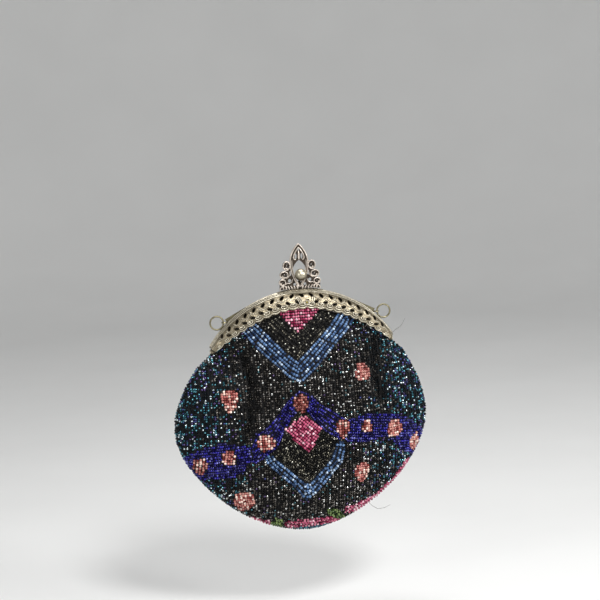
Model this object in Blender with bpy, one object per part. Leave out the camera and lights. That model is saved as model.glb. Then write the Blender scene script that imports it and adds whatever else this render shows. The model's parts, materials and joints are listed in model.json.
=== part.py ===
"""Beaded evening bag on an arched, pierced metal frame with a ball clasp.

Metres, +Z up, front at -Y. The origin is midway between the two chain rings.
"""
import math

import bmesh
import bpy
from mathutils import Matrix, Vector

# Arched frame, one half on each side of the closing plane at y = 0
arch_radius = 0.0770
crown_height = 0.0192
closing_gap = 0.0003
frame_wall = 0.0009
band_crown_drop = 0.0127
band_tip_drop = 0.0046
band_crown_depth = 0.0085
band_tip_depth = 0.0060
band_taper_power = 3.5
shell_end_height = 0.0030
lobe_pitch = 0.0061
lobe_depth = 0.0012
lobe_fade = 3.0
lobe_segments = 4
outer_profile_points = 5
inner_profile_points = 4
slot_half_length = 0.0016
slot_half_width = 0.0008
slot_tip_share = 0.55
slot_corners = 6
slot_tilt = math.radians(38)
slot_row_shares = (0.47, 0.74)
slot_reach_share = 0.86
slope_probe_share = 0.02
overrun = 0.0010

# Hinges at the tips of the arch
hinge_drop = 0.0195
lug_setback = 0.0040
lug_radius = 0.0022
lug_thickness = 0.0009
neck_share = 0.94
side_gap = 0.0003
rivet_radius = 0.0009
rivet_clearance = 0.0001
rivet_head_radius = 0.0016
rivet_head_height = 0.0007
rivet_crown_share = 0.6
rivet_segments = 12

# Crest on the front half
crest_thickness = 0.0011
crest_relief = 0.0002
crest_depth = 0.0020
crest_height = 0.0305
lancet_half_width = 0.0064
lancet_strip = 0.0016
lancet_belly_share = 0.557
window_top_share = 0.577
window_bottom_height = 0.0030
window_half_width = 0.0048
fan_half_width = 0.0142
scroll_ring = 0.0011
foot_half_length = 0.0165
foot_width = 0.0052
foot_thickness = 0.0011
seat_gap = 0.0003
saddle_tip_share = 0.12
saddle_edge_share = 0.45
saddle_power = 0.8
vesica_powers = (0.85, 0.8, 0.9)

# Ball clasp on the back half
ball_radius = 0.00415
ball_height = 0.0110
post_radius = 0.0009
post_sink = 0.0016
post_foot_half_length = 0.0048
post_foot_width = 0.0040
knee_lean_share = 0.8
knee_rise_share = 0.75
post_stop_shares = (0.6, 0.04, 0.14)

# Chain rings and the ears that carry them
ring_radius = 0.0046
ring_wire = 0.00055
eye_radius = 0.0017
eye_wire = 0.00042
eye_reach = 0.0031
ring_slack = 0.00015
ear_thickness = 0.0008
ear_offset = 0.0007
ear_length = 0.0170
ear_height = 0.0026
ear_tip_share = 0.25

# Beaded bag and its lining
belly_half_width = 0.0878
belly_shift = -0.0028
belly_drop = 0.0719
bag_drop = 0.1503
belly_half_thickness = 0.0285
outline_power = 1.76
cloth_thickness = 0.0022
lining_thickness = 0.0006
layer_gap = 0.0003
seam_corner_drop = 0.0215
seam_overhang = 0.0044
hinge_notch = 0.0034
notch_margin_share = 0.08
notch_blend_power = 12
side_swell_power = 0.56
top_swell_power = 0.90
top_start_share = 0.35
top_span_share = 0.55
edge_tuck_share = 0.04
cloth_tuck_share = 0.15
fold_drop = 0.0140
binding_height = 0.0020
binding_thickness = 0.0013
binding_end_share = 0.93
binding_tip_share = 0.35

round_segments = 16
arch_centre = crown_height - arch_radius
hinge_half_span = math.sqrt(arch_radius ** 2 - (arch_centre + hinge_drop) ** 2) - lug_setback
seam_corner_half_span = hinge_half_span + seam_overhang


def clear_scene():
    for item in list(bpy.data.objects):
        bpy.data.objects.remove(item, do_unlink=True)


def make_material(name, color, roughness, metallic):
    material = bpy.data.materials.new(name)
    material.use_nodes = True
    shader = material.node_tree.nodes["Principled BSDF"]
    shader.inputs["Base Color"].default_value = (*color, 1.0)
    shader.inputs["Roughness"].default_value = roughness
    shader.inputs["Metallic"].default_value = metallic
    material.diffuse_color = (*color, 1.0)
    return material


def make_object(name, mesh_source, material=None, origin=(0.0, 0.0, 0.0), parent=None):
    """Turn a bmesh in world coordinates into an object whose origin is given."""
    bmesh.ops.recalc_face_normals(mesh_source, faces=mesh_source.faces[:])
    mesh_source.transform(Matrix.Translation(-Vector(origin)))
    mesh = bpy.data.meshes.new(name)
    mesh_source.to_mesh(mesh)
    mesh_source.free()
    mesh.shade_smooth()
    mesh.set_sharp_from_angle(angle=math.radians(35))
    item = bpy.data.objects.new(name, mesh)
    bpy.context.collection.objects.link(item)
    item.location = origin
    if material:
        mesh.materials.append(material)
    if parent:
        item.parent = parent
        item.matrix_parent_inverse = Matrix.Translation(-parent.location)
    return item


def make_pivot(name, location):
    pivot = bpy.data.objects.new(name, None)
    bpy.context.collection.objects.link(pivot)
    pivot.location = location
    return pivot


def combine(item, tool_mesh, operation, name):
    """Add a live Boolean whose tool is hidden from renders."""
    tool = make_object(name, tool_mesh)
    tool.hide_render = True
    tool.display_type = "WIRE"
    modifier = item.modifiers.new(name, "BOOLEAN")
    modifier.operation = operation
    modifier.solver = "EXACT"
    modifier.object = tool


def add_loft(target, loops, closed=False):
    """Skin rings of points; an open loft gets a cap at each end."""
    rings = [[target.verts.new(point) for point in loop] for loop in loops]
    count = len(rings[0])
    pairs = list(zip(rings, rings[1:]))
    if closed:
        pairs.append((rings[-1], rings[0]))
    for first, second in pairs:
        for index in range(count):
            after = (index + 1) % count
            target.faces.new((first[index], first[after], second[after], second[index]))
    if not closed:
        target.faces.new(rings[0][::-1])
        target.faces.new(rings[-1])


def add_cylinder(target, centre, axis, radius, length, segments=round_segments):
    turn = Vector((0.0, 0.0, 1.0)).rotation_difference(Vector(axis)).to_matrix().to_4x4()
    bmesh.ops.create_cone(target, cap_ends=True, segments=segments, radius1=radius, radius2=radius,
                          depth=length, matrix=Matrix.Translation(centre) @ turn)


def add_plate(target, outline, middle, thickness):
    """Extrude an outline of (x, z) points along Y."""
    loops = [[Vector((x, middle + side * thickness / 2, z)) for x, z in outline] for side in (-1, 1)]
    add_loft(target, loops)


def add_torus(target, centre, turn, radius, wire, segments, sides):
    loops = []
    for step in range(segments):
        angle = math.tau * step / segments
        outward = Vector((math.cos(angle), math.sin(angle), 0.0))
        loop = []
        for side in range(sides):
            around = math.tau * side / sides
            lift = Vector((0.0, 0.0, wire * math.sin(around)))
            loop.append(centre + turn @ (outward * (radius + wire * math.cos(around)) + lift))
        loops.append(loop)
    add_loft(target, loops, closed=True)


def add_rod(target, path, radius, sides):
    """Sweep a round section along points that lie in one YZ plane."""
    across = Vector((1.0, 0.0, 0.0))
    loops = []
    for index, point in enumerate(path):
        before = path[max(index - 1, 0)]
        after = path[min(index + 1, len(path) - 1)]
        normal = across.cross((after - before).normalized())
        loop = []
        for side in range(sides):
            angle = math.tau * side / sides
            loop.append(point + (across * math.cos(angle) + normal * math.sin(angle)) * radius)
        loops.append(loop)
    add_loft(target, loops)


def on_arch(radius, angle, y=0.0):
    """Point at an angle from straight up about the arch's centre."""
    return Vector((radius * math.sin(angle), y, arch_centre + radius * math.cos(angle)))


arch_end_angle = math.acos((shell_end_height - hinge_drop - arch_centre) / arch_radius)


def taper(angle):
    share = min(abs(angle) / arch_end_angle, 1.0)
    return 1.0 - share ** band_taper_power


def band_drop(angle):
    return band_tip_drop + (band_crown_drop - band_tip_drop) * taper(angle)


def band_depth(angle):
    return band_tip_depth + (band_crown_depth - band_tip_depth) * taper(angle)


def shell_point(side, angle, turn_share, inset=0.0, lift=0.0):
    """Point on the coved shell, from the ridge (share 0) to its lower edge (share 1)."""
    turn = turn_share * math.pi / 2
    half_gap = closing_gap / 2
    across = half_gap + (band_depth(angle) - inset - half_gap) * math.sin(turn)
    down = (band_drop(angle) - inset) * (1.0 - math.cos(turn))
    return on_arch(arch_radius - inset - down + lift, angle, side * across)


def lobe_raise(angle):
    """How far the lower edge is cut back between its lobes."""
    pitch = lobe_pitch / (arch_radius - band_crown_drop)
    fade = min(1.0, lobe_fade * taper(angle))
    return lobe_depth * fade * (1.0 - abs(math.cos(math.pi * angle / pitch)))


def lobe_angles():
    pitch = lobe_pitch / (arch_radius - band_crown_drop)
    count = int(arch_end_angle / pitch - 0.5)
    inner = [pitch * (step / lobe_segments - count - 0.5) for step in range((2 * count + 1) * lobe_segments + 1)]
    return [-arch_end_angle] + inner + [arch_end_angle]


def frame_half(name, side, material, parent=None):
    """Coved shell with a lobed lower edge, pierced slots and a lug at each tip."""
    shell = bmesh.new()
    loops = []
    for angle in lobe_angles():
        loop = []
        for inset, points in ((0.0, outer_profile_points), (frame_wall, inner_profile_points)):
            row = []
            for step in range(points):
                share = step / (points - 1)
                raised = lobe_raise(angle) * share ** 3
                row.append(shell_point(side, angle, share, inset, raised))
            loop += row[::-1] if inset else row
        loops.append(loop)
    add_loft(shell, loops)
    half = make_object(name, shell, material, parent.location if parent else (0.0, 0.0, 0.0), parent)

    lugs = bmesh.new()
    for end in (-1, 1):
        middle = lug_middle(side)
        centre = Vector((end * middle, 0.0, -hinge_drop))
        add_cylinder(lugs, centre, (1.0, 0.0, 0.0), lug_radius, lug_thickness)
        reach = math.sqrt((arch_radius - frame_wall / 2) ** 2 - middle ** 2)
        top = arch_centre + reach - side_gap
        low = side * closing_gap
        high = side * (lug_radius - closing_gap)
        rows = [[Vector((end * middle + edge * lug_thickness * neck_share / 2, y, z)) for edge, y in
                 ((-1, low), (1, low), (1, high), (-1, high))] for z in (-hinge_drop, top)]
        neck = bmesh.new()
        add_loft(neck, rows)
        combine(half, neck, "UNION", name + ("_neck_left" if end < 0 else "_neck_right"))
    combine(half, lugs, "UNION", name + "_lug_discs")

    bores = bmesh.new()
    for end in (-1, 1):
        centre = Vector((end * lug_middle(side), 0.0, -hinge_drop))
        add_cylinder(bores, centre, (1.0, 0.0, 0.0), rivet_radius + rivet_clearance,
                     lug_thickness + 2 * overrun)
    combine(half, bores, "DIFFERENCE", name + "_bores")

    slots = bmesh.new()
    for row, share in enumerate(slot_row_shares):
        add_slot_row(slots, side, share, row)
    combine(half, slots, "DIFFERENCE", name + "_slots")
    return half


def lug_middle(side):
    """The back lug lies inboard of the front lug."""
    return hinge_half_span - side * (lug_thickness + side_gap) / 2


def add_slot_row(target, side, share, row):
    pitch = lobe_pitch / (arch_radius - band_crown_drop)
    count = int(arch_end_angle * slot_reach_share / pitch)
    places = [pitch * (step + 0.5 * row) for step in range(-count, count + (1 - row))]
    for place in places:
        centre = shell_point(side, place, share, frame_wall / 2)
        along = Vector((math.cos(place), 0.0, -math.sin(place)))
        below = shell_point(side, place, share + slope_probe_share)
        down = (below - shell_point(side, place, share)).normalized()
        outward = along.cross(down).normalized()
        lean = slot_tilt * (1 if row == 0 else -1) * (1 if place >= 0 else -1)
        long_way = along * math.cos(lean) + down * math.sin(lean)
        short_way = outward.cross(long_way)
        size = slot_tip_share + (1.0 - slot_tip_share) * taper(place)
        loops = []
        for reach in (-1, 1):
            loop = []
            for corner in range(slot_corners):
                angle = math.tau * corner / slot_corners
                loop.append(centre + outward * reach * (frame_wall + overrun)
                            + long_way * slot_half_length * size * math.cos(angle)
                            + short_way * slot_half_width * size * math.sin(angle) / math.sin(math.tau / slot_corners))
            loops.append(loop)
        add_loft(target, loops)


def hinge_rivet(name, end, material):
    """Turned rivet through both lugs, with a head at each end."""
    stack = lug_thickness + side_gap / 2
    half = stack + side_gap
    outline = [(-half - rivet_head_height, rivet_crown_share * rivet_head_radius),
               (-half - rivet_head_height / 2, rivet_head_radius), (-half, rivet_head_radius),
               (-half, rivet_radius), (half, rivet_radius), (half, rivet_head_radius),
               (half + rivet_head_height / 2, rivet_head_radius),
               (half + rivet_head_height, rivet_crown_share * rivet_head_radius)]
    rivet = bmesh.new()
    loops = []
    for along, radius in outline:
        loop = []
        for step in range(rivet_segments):
            turn = math.tau * step / rivet_segments
            loop.append(Vector((end * hinge_half_span + along, radius * math.cos(turn),
                                -hinge_drop + radius * math.sin(turn))))
        loops.append(loop)
    add_loft(rivet, loops)
    return make_object(name, rivet, material)


def saddle(target, side, half_length, near, width, thickness, stations):
    """Plate that follows the top of a frame half, pointed at its ends like a leaf."""
    loops = []
    for step in range(stations + 1):
        share = 2.0 * step / stations - 1.0
        angle = share * half_length / arch_radius
        fullness = math.cos(share * math.pi / 2)
        reach = near + (width - near) * (saddle_tip_share + (1.0 - saddle_tip_share) * fullness ** saddle_power)
        loop = []
        for lift in (seat_gap, seat_gap + thickness * (saddle_edge_share + (1.0 - saddle_edge_share) * fullness)):
            row = []
            for part in range(4):
                across = near + (reach - near) * part / 3
                depth = band_depth(angle) - closing_gap / 2
                turn = math.asin(min(1.0, (across - closing_gap / 2) / depth))
                row.append(shell_point(side, angle, turn / (math.pi / 2), 0.0, lift))
            loop += row if lift == seat_gap else row[::-1]
        loops.append(loop)
    add_loft(target, loops)


def crest_foot_top():
    return seat_gap + foot_thickness + seat_gap


crest_base = crown_height + crest_foot_top()


def vesica(half_width, bottom, belly, top, steps):
    """Pointed oval as (x, z) points, standing on its tip."""
    low_power, high_power, rise_power = vesica_powers
    right = []
    for step in range(steps + 1):
        share = step / steps
        right.append((half_width * math.sin(share * math.pi / 2) ** low_power, bottom + (belly - bottom) * share))
    for step in range(1, steps + 1):
        share = step / steps
        across = half_width * math.cos(share * math.pi / 2) ** high_power
        right.append((across, belly + (top - belly) * share ** rise_power))
    left = [(-x, z) for x, z in right[-2:0:-1]]
    return right + left


# Scrolls beside the lancet: centre across, centre up and half sizes, as shares of the crest
scroll_shares = ((0.62, 0.505, 0.200, 0.110), (0.765, 0.305, 0.225, 0.088), (0.86, 0.135, 0.185, 0.078))
fan_outline_shares = ((0.0, -0.06), (1.0, -0.06), (1.0, 0.09), (0.80, 0.26), (0.62, 0.42), (0.42, 0.56), (0.0, 0.60))
gap_shares = ((0.44, 0.335, 0.055, 0.060), (0.50, 0.165, 0.085, 0.042), (0.255, 0.075, 0.070, 0.034))
leaf_shares = ((0.0, 0.86, 0.045, 0.045), (0.145, 0.715, 0.060, 0.070))


def oval(centre_x, centre_z, half_x, half_z, steps=10):
    return [(centre_x + half_x * math.cos(math.tau * step / steps),
             centre_z + half_z * math.sin(math.tau * step / steps)) for step in range(steps)]


def crest_oval(mirror, shares, shrink=0.0):
    across, up, half_x, half_z = shares
    return oval(mirror * across * fan_half_width, crest_base + up * crest_height,
                half_x * fan_half_width - shrink, half_z * crest_height - shrink)


def crest(name, material, parent):
    """Pierced crest: a lancet arch with a window, flanked by scrolls."""
    fan = bmesh.new()
    right = [(x * fan_half_width, crest_base + z * crest_height) for x, z in fan_outline_shares]
    left = [(-x, z) for x, z in right[-2:0:-1]]
    add_plate(fan, right + left, -crest_depth, crest_thickness)
    plate = make_object(name, fan, material, parent.location, parent)

    lancet = bmesh.new()
    outer = vesica(lancet_half_width, crest_base - lancet_strip / 2,
                   crest_base + lancet_belly_share * crest_height, crest_base + crest_height, 6)
    add_plate(lancet, outer, -crest_depth, crest_thickness + 2 * crest_relief)
    combine(plate, lancet, "UNION", name + "_lancet")
    for index, shares in enumerate(scroll_shares):
        for mirror in (-1, 1):
            scroll = bmesh.new()
            add_plate(scroll, crest_oval(mirror, shares), -crest_depth,
                      crest_thickness + (1 + index % 2) * crest_relief / 2)
            combine(plate, scroll, "UNION", name + "_scroll_%d_%s" % (index, "right" if mirror > 0 else "left"))

    holes = bmesh.new()
    cut = crest_thickness + 2 * crest_relief + 2 * overrun
    window_top = window_top_share * crest_height + lancet_strip
    window = vesica(window_half_width, crest_base + window_bottom_height,
                    crest_base + (window_bottom_height + window_top) / 2, crest_base + window_top, 6)
    add_plate(holes, window, -crest_depth, cut)
    for shares in scroll_shares:
        for mirror in (-1, 1):
            add_plate(holes, crest_oval(mirror, shares, scroll_ring), -crest_depth, cut)
    for shares in gap_shares + leaf_shares:
        for mirror in ((-1, 1) if shares[0] else (1,)):
            add_plate(holes, crest_oval(mirror, shares), -crest_depth, cut)
    combine(plate, holes, "DIFFERENCE", name + "_holes")

    rim = bmesh.new()
    add_cylinder(rim, Vector((0.0, -crest_depth, arch_centre)), (0.0, 1.0, 0.0),
                 arch_radius + crest_foot_top(), cut, 160)
    combine(plate, rim, "DIFFERENCE", name + "_rim_cut")
    return plate


def crest_front():
    return -crest_depth - crest_thickness / 2 - crest_relief


def ball_centre():
    return Vector((0.0, crest_front() - seat_gap - ball_radius, crown_height + ball_height))


def post_path():
    """The rod rises behind the crest and leans forward through its window."""
    rear = (closing_gap + post_foot_width) / 2
    start = Vector((0.0, rear, crown_height - closing_gap))
    knee = Vector((0.0, rear * knee_lean_share, crest_base + window_bottom_height * knee_rise_share))
    middle = ball_centre()
    end = middle + (knee - middle).normalized() * (ball_radius - post_sink + seat_gap)
    low, bend, rise = post_stop_shares
    return [start, start.lerp(knee, low), knee.lerp(end, bend), knee.lerp(end, rise), end]


def ball_post(name, material):
    foot = bmesh.new()
    saddle(foot, 1, post_foot_half_length, closing_gap, post_foot_width, foot_thickness, 8)
    post = make_object(name, foot, material)
    rod = bmesh.new()
    path = post_path()
    path[0].z += seat_gap + foot_thickness / 2
    add_rod(rod, path, post_radius, 12)
    combine(post, rod, "UNION", name + "_rod")
    return post


def clasp_ball(name, material):
    ball = bmesh.new()
    bmesh.ops.create_uvsphere(ball, u_segments=20, v_segments=12, radius=ball_radius,
                              matrix=Matrix.Translation(ball_centre()))
    item = make_object(name, ball, material)
    seat = bmesh.new()
    path = post_path()
    direction = (path[-2] - path[-1]).normalized()
    length = post_sink + 2 * overrun
    start = path[-1] - direction * seat_gap
    add_cylinder(seat, start + direction * length / 2, direction, post_radius + seat_gap, length, 12)
    combine(item, seat, "DIFFERENCE", name + "_seat")
    return item


def eye_outer_x():
    return math.sqrt((arch_radius + eye_reach) ** 2 - arch_centre ** 2)


def ear(name, end, material):
    """Wire eye standing on a three-cornered tab soldered over the ridge."""
    eye = bmesh.new()
    centre = Vector((end * (eye_outer_x() - eye_radius), 0.0, 0.0))
    add_torus(eye, centre, Matrix.Identity(3), eye_radius, eye_wire, 14, 6)
    item = make_object(name, eye, material)

    tab = bmesh.new()
    outer_angle = math.atan2(eye_outer_x() - 2.0 * eye_radius, -arch_centre)
    inner_angle = outer_angle - ear_length / arch_radius
    base = arch_radius + seat_gap
    outline = []
    steps = 8
    for step in range(steps + 1):
        point = on_arch(base, inner_angle + (outer_angle - inner_angle) * step / steps)
        outline.append((end * point.x, point.z))
    tip = on_arch(base + ear_height, outer_angle - ear_tip_share * ear_height / arch_radius)
    outline.append((end * tip.x, tip.z))
    add_plate(tab, outline if end > 0 else outline[::-1], ear_offset + ear_thickness / 2, ear_thickness)
    combine(item, tab, "UNION", name + "_tab")
    return item


def chain_ring(name, end, material):
    pivot = Vector((end * eye_outer_x(), 0.0, 0.0))
    reach = ring_radius - ring_wire - eye_wire - ring_slack
    ring = bmesh.new()
    turn = Matrix.Rotation(math.pi / 2, 3, "X")
    add_torus(ring, pivot + Vector((end * reach, 0.0, 0.0)), turn, ring_radius, ring_wire, 24, 6)
    return make_object(name, ring, material, pivot)


belly_centre = Vector((belly_shift, 0.0, -belly_drop))


def outline_reach(angle):
    """Distance from the belly's centre to the seam that runs round the bag below the hinges."""
    right = math.cos(angle) >= 0.0
    corner_angle = math.atan2(belly_drop - seam_corner_drop,
                              seam_corner_half_span - (belly_shift if right else -belly_shift))
    if math.asin(math.sin(angle)) > corner_angle:
        return 2.0 * bag_drop
    corner = seam_corner_half_span - (belly_shift if right else -belly_shift)
    rise = (belly_drop - seam_corner_drop) / (1.0 - (corner / belly_half_width) ** outline_power) ** (1 / outline_power)
    height = rise if math.sin(angle) > 0.0 else bag_drop - belly_drop
    across = abs(math.cos(angle) / belly_half_width) ** outline_power
    up = abs(math.sin(angle) / height) ** outline_power
    return (across + up) ** (-1.0 / outline_power)


def arch_reach(angle):
    """Distance from the belly's centre to the cloth's edge under the frame."""
    direction = Vector((math.cos(angle), math.sin(angle)))
    low, high = 0.0, 2.0 * bag_drop
    for _ in range(40):
        middle = (low + high) / 2
        x = belly_shift + direction.x * middle
        z = -belly_drop + direction.y * middle
        place = math.atan2(x, z - arch_centre)
        limit = arch_radius - (1.0 - cloth_tuck_share) * band_drop(place)
        if math.hypot(x, z - arch_centre) < limit or z < -hinge_drop:
            low = middle
        else:
            high = middle
    return low


def notch_reach(angle, end, radius):
    """Distance to the clearance circle round a hinge, or a large value if the ray misses it."""
    away = Vector((end * hinge_half_span - belly_shift, belly_drop - hinge_drop))
    heading = Vector((math.cos(angle), math.sin(angle)))
    along = away.dot(heading)
    aside = abs(away.x * heading.y - away.y * heading.x)
    if along < 0.0 or aside >= radius:
        return 2.0 * bag_drop
    return along - math.sqrt(radius ** 2 - aside ** 2)


def cloth_angles():
    """Rays round the bag, closer together beside the hinges."""
    stops = []
    for end in (1, -1):
        away = Vector((end * hinge_half_span - belly_shift, belly_drop - hinge_drop))
        middle = math.atan2(away.y, away.x)
        half = math.asin(hinge_notch / away.length) * (1.0 + notch_margin_share)
        stops.append((middle - half, middle + half))
    right, left = stops
    spans = [(right[0], right[1], 5), (right[1], left[0], 11), (left[0], left[1], 5),
             (left[1], right[0] + math.tau, 22)]
    angles = []
    for start, stop, count in spans:
        angles += [start + (stop - start) * step / count for step in range(count)]
    return angles


def toward_top(angle):
    """0 for rays to the seam, 1 for rays to the frame, smooth between."""
    share = min(1.0, max(0.0, (math.sin(angle) - top_start_share) / top_span_share))
    return share * share * (3.0 - 2.0 * share)


def dome_point(side, angle, share, inset):
    """Point on the swelling side of the bag; share runs from the middle (0) to the edge (1)."""
    full = min(outline_reach(angle) - inset, arch_reach(angle))
    notch = min(notch_reach(angle, 1, hinge_notch), notch_reach(angle, -1, hinge_notch))
    reach = min(full, notch)
    edge_x = belly_shift + reach * math.cos(angle)
    edge_z = -belly_drop + reach * math.sin(angle)
    place = math.atan2(edge_x, edge_z - arch_centre)
    under_frame = band_depth(place) - frame_wall - 2.0 * layer_gap - inset
    drop_below = max(0.0, -hinge_drop - edge_z) / hinge_notch
    hold = max(0.0, 1.0 - drop_below)
    edge = closing_gap / 2 + (under_frame - closing_gap / 2) * hold * hold * (3.0 - 2.0 * hold)
    tuck = 1.0 - edge_tuck_share * hold
    power = side_swell_power + (top_swell_power - side_swell_power) * toward_top(angle)
    swell = max(0.0, 1.0 - (share / tuck) ** 2) ** power if share < tuck else 0.0
    depth = edge + (belly_half_thickness - inset - edge) * swell
    run = full * share + (reach - full) * share ** notch_blend_power
    return Vector((belly_shift + run * math.cos(angle), side * depth, -belly_drop + run * math.sin(angle)))


ring_shares = (0.30, 0.56, 0.76, 0.90, 0.965, 1.0)


def bag_side(name, side, outer, inner, material, part="whole", parent=None):
    """One side of the bag as a domed shell between two insets, whole or cut at the fold."""
    shell = bmesh.new()
    surfaces = []
    for inset in (outer, inner):
        centre = shell.verts.new(Vector((belly_shift, side * (belly_half_thickness - inset), -belly_drop)))
        rings = [[shell.verts.new(dome_point(side, angle, share, inset)) for angle in cloth_angles()]
                 for share in ring_shares]
        surfaces.append((centre, rings))
    count = len(cloth_angles())
    for centre, rings in surfaces:
        for index in range(count):
            after = (index + 1) % count
            shell.faces.new((centre, rings[0][index], rings[0][after]))
            for first, second in zip(rings, rings[1:]):
                shell.faces.new((first[index], second[index], second[after], first[after]))
    outer_rim = surfaces[0][1][-1]
    inner_rim = surfaces[1][1][-1]
    for index in range(count):
        after = (index + 1) % count
        shell.faces.new((outer_rim[index], inner_rim[index], inner_rim[after], outer_rim[after]))
    bmesh.ops.recalc_face_normals(shell, faces=shell.faces[:])
    if part != "whole":
        lower = part == "lower"
        height = -hinge_drop - fold_drop - (layer_gap if lower else 0.0)
        cut = bmesh.ops.bisect_plane(shell, geom=shell.verts[:] + shell.edges[:] + shell.faces[:],
                                     plane_co=(0.0, 0.0, height), plane_no=(0.0, 0.0, 1.0),
                                     clear_outer=lower, clear_inner=not lower)
        edges = [item for item in cut["geom_cut"] if isinstance(item, bmesh.types.BMEdge)]
        bmesh.ops.edgeloop_fill(shell, edges=edges)
    return make_object(name, shell, material, parent.location if parent else (0.0, 0.0, 0.0), parent)


def binding(name, side, material, parent=None):
    """Tape sewn inside the cove, above the raw edge of the cloth."""
    tape = bmesh.new()
    loops = []
    steps = 24
    for step in range(steps + 1):
        angle = (2.0 * step / steps - 1.0) * arch_end_angle * binding_end_share
        low = arch_radius - (1.0 - cloth_tuck_share) * band_drop(angle) + 2.0 * layer_gap
        high = low + binding_height * (binding_tip_share + (1.0 - binding_tip_share) * taper(angle))
        inner_drop = band_drop(angle) - frame_wall
        slack = arch_radius - frame_wall - high
        cove = math.sqrt(max(0.0, 1.0 - max(0.0, 1.0 - slack / inner_drop) ** 2))
        far = closing_gap / 2 + (band_depth(angle) - frame_wall - closing_gap / 2) * cove - 2.0 * layer_gap
        near = far - binding_thickness
        loops.append([on_arch(low, angle, side * far), on_arch(high, angle, side * far),
                      on_arch(high, angle, side * near), on_arch(low, angle, side * near)])
    add_loft(tape, loops)
    return make_object(name, tape, material, parent.location if parent else (0.0, 0.0, 0.0), parent)


def build():
    clear_scene()
    silver = make_material("aged_silver", (0.60, 0.56, 0.47), 0.38, 1.0)
    bright = make_material("worn_ball", (0.74, 0.70, 0.62), 0.22, 1.0)
    wire = make_material("brassy_wire", (0.50, 0.46, 0.33), 0.35, 1.0)
    beads = make_material("black_beads", (0.03, 0.03, 0.04), 0.25, 0.2)
    satin = make_material("dark_satin", (0.06, 0.05, 0.06), 0.5, 0.0)
    tape = make_material("cotton_tape", (0.10, 0.09, 0.09), 0.8, 0.0)

    hinge = make_pivot("frame_hinge_pivot", (0.0, 0.0, -hinge_drop))
    frame_half("back_frame", 1, silver)
    frame_half("front_frame", -1, silver, hinge)
    hinge_rivet("left_hinge_rivet", -1, silver)
    hinge_rivet("right_hinge_rivet", 1, silver)

    foot = bmesh.new()
    saddle(foot, -1, foot_half_length, closing_gap, foot_width, foot_thickness, 16)
    make_object("crest_foot", foot, silver, hinge.location, hinge)
    crest("crest", silver, hinge)
    ball_post("ball_post", silver)
    clasp_ball("clasp_ball", bright)

    for end, word in ((-1, "left"), (1, "right")):
        ear(word + "_ear", end, wire)
        chain_ring(word + "_ring", end, wire)

    lining_outer = cloth_thickness + layer_gap
    lining_inner = lining_outer + lining_thickness
    bag_side("back_panel", 1, 0.0, cloth_thickness, beads)
    bag_side("front_panel", -1, 0.0, cloth_thickness, beads, "lower")
    bag_side("front_panel_upper", -1, 0.0, cloth_thickness, beads, "upper", hinge)
    bag_side("back_lining", 1, lining_outer, lining_inner, satin)
    bag_side("front_lining", -1, lining_outer, lining_inner, satin, "lower")
    bag_side("front_lining_upper", -1, lining_outer, lining_inner, satin, "upper", hinge)
    binding("back_binding", 1, tape)
    binding("front_binding", -1, tape, hinge)


build()
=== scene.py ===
import json
import random
from itertools import product
from math import acos, asin, atan2, ceil, cos, exp, floor, hypot, pi, radians, sin, sqrt, tau

import bmesh
import bpy
from mathutils import Euler, Matrix, Vector


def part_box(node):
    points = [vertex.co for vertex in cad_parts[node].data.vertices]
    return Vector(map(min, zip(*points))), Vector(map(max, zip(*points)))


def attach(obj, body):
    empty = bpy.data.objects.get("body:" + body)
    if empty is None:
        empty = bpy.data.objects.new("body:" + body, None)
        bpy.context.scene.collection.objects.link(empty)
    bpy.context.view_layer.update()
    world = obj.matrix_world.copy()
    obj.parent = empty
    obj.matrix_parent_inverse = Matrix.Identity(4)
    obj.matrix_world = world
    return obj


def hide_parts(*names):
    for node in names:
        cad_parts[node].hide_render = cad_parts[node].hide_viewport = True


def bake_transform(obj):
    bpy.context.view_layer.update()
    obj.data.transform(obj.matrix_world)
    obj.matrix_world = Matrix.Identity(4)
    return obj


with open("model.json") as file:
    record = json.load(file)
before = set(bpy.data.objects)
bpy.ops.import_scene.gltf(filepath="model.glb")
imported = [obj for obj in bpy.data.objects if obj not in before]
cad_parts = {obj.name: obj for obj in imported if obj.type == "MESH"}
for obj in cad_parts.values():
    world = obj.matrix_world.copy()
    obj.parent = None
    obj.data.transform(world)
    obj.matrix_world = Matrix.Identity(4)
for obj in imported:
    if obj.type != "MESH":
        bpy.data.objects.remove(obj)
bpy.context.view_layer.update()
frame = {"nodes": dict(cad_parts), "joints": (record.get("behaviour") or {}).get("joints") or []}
hingeSpot = Vector(next(joint["pos_m"] for joint in frame["joints"] if joint["name"] == "frame_hinge"))
# side of the middle plane, the body there and its word in the names
halves = ((-1, "front_half", "front"), (1, "bag", "back"))
print("frame loaded")


# Shared helpers

def smoothStep(value):
    value = min(1.0, max(0.0, value))
    return value * value * (3.0 - 2.0 * value)


def blendValues(first, second, share):
    return first + (second - first) * share


def inMetres(points):
    # long outlines are written in tenths of a millimetre
    return [tuple(value / 10000 for value in point) for point in points]


def addObject(name, data):
    piece = bpy.data.objects.new(name, data)
    bpy.context.scene.collection.objects.link(piece)
    return piece


def dress(piece, finish):
    piece.data.materials.clear()
    piece.data.materials.append(bpy.data.materials[finish])


def seat(piece, body, slotName, *replaced):
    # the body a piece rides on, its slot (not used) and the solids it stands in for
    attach(piece, body)
    if replaced:
        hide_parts(*replaced)


def keepPiece(name, source, finish):
    # source is a bmesh in the frame's own coordinates; the object stays at the origin
    bmesh.ops.recalc_face_normals(source, faces=source.faces[:])
    mesh = bpy.data.meshes.new(name)
    source.to_mesh(mesh)
    source.free()
    mesh.shade_smooth()
    piece = addObject(name, mesh)
    dress(piece, finish)
    return piece


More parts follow.
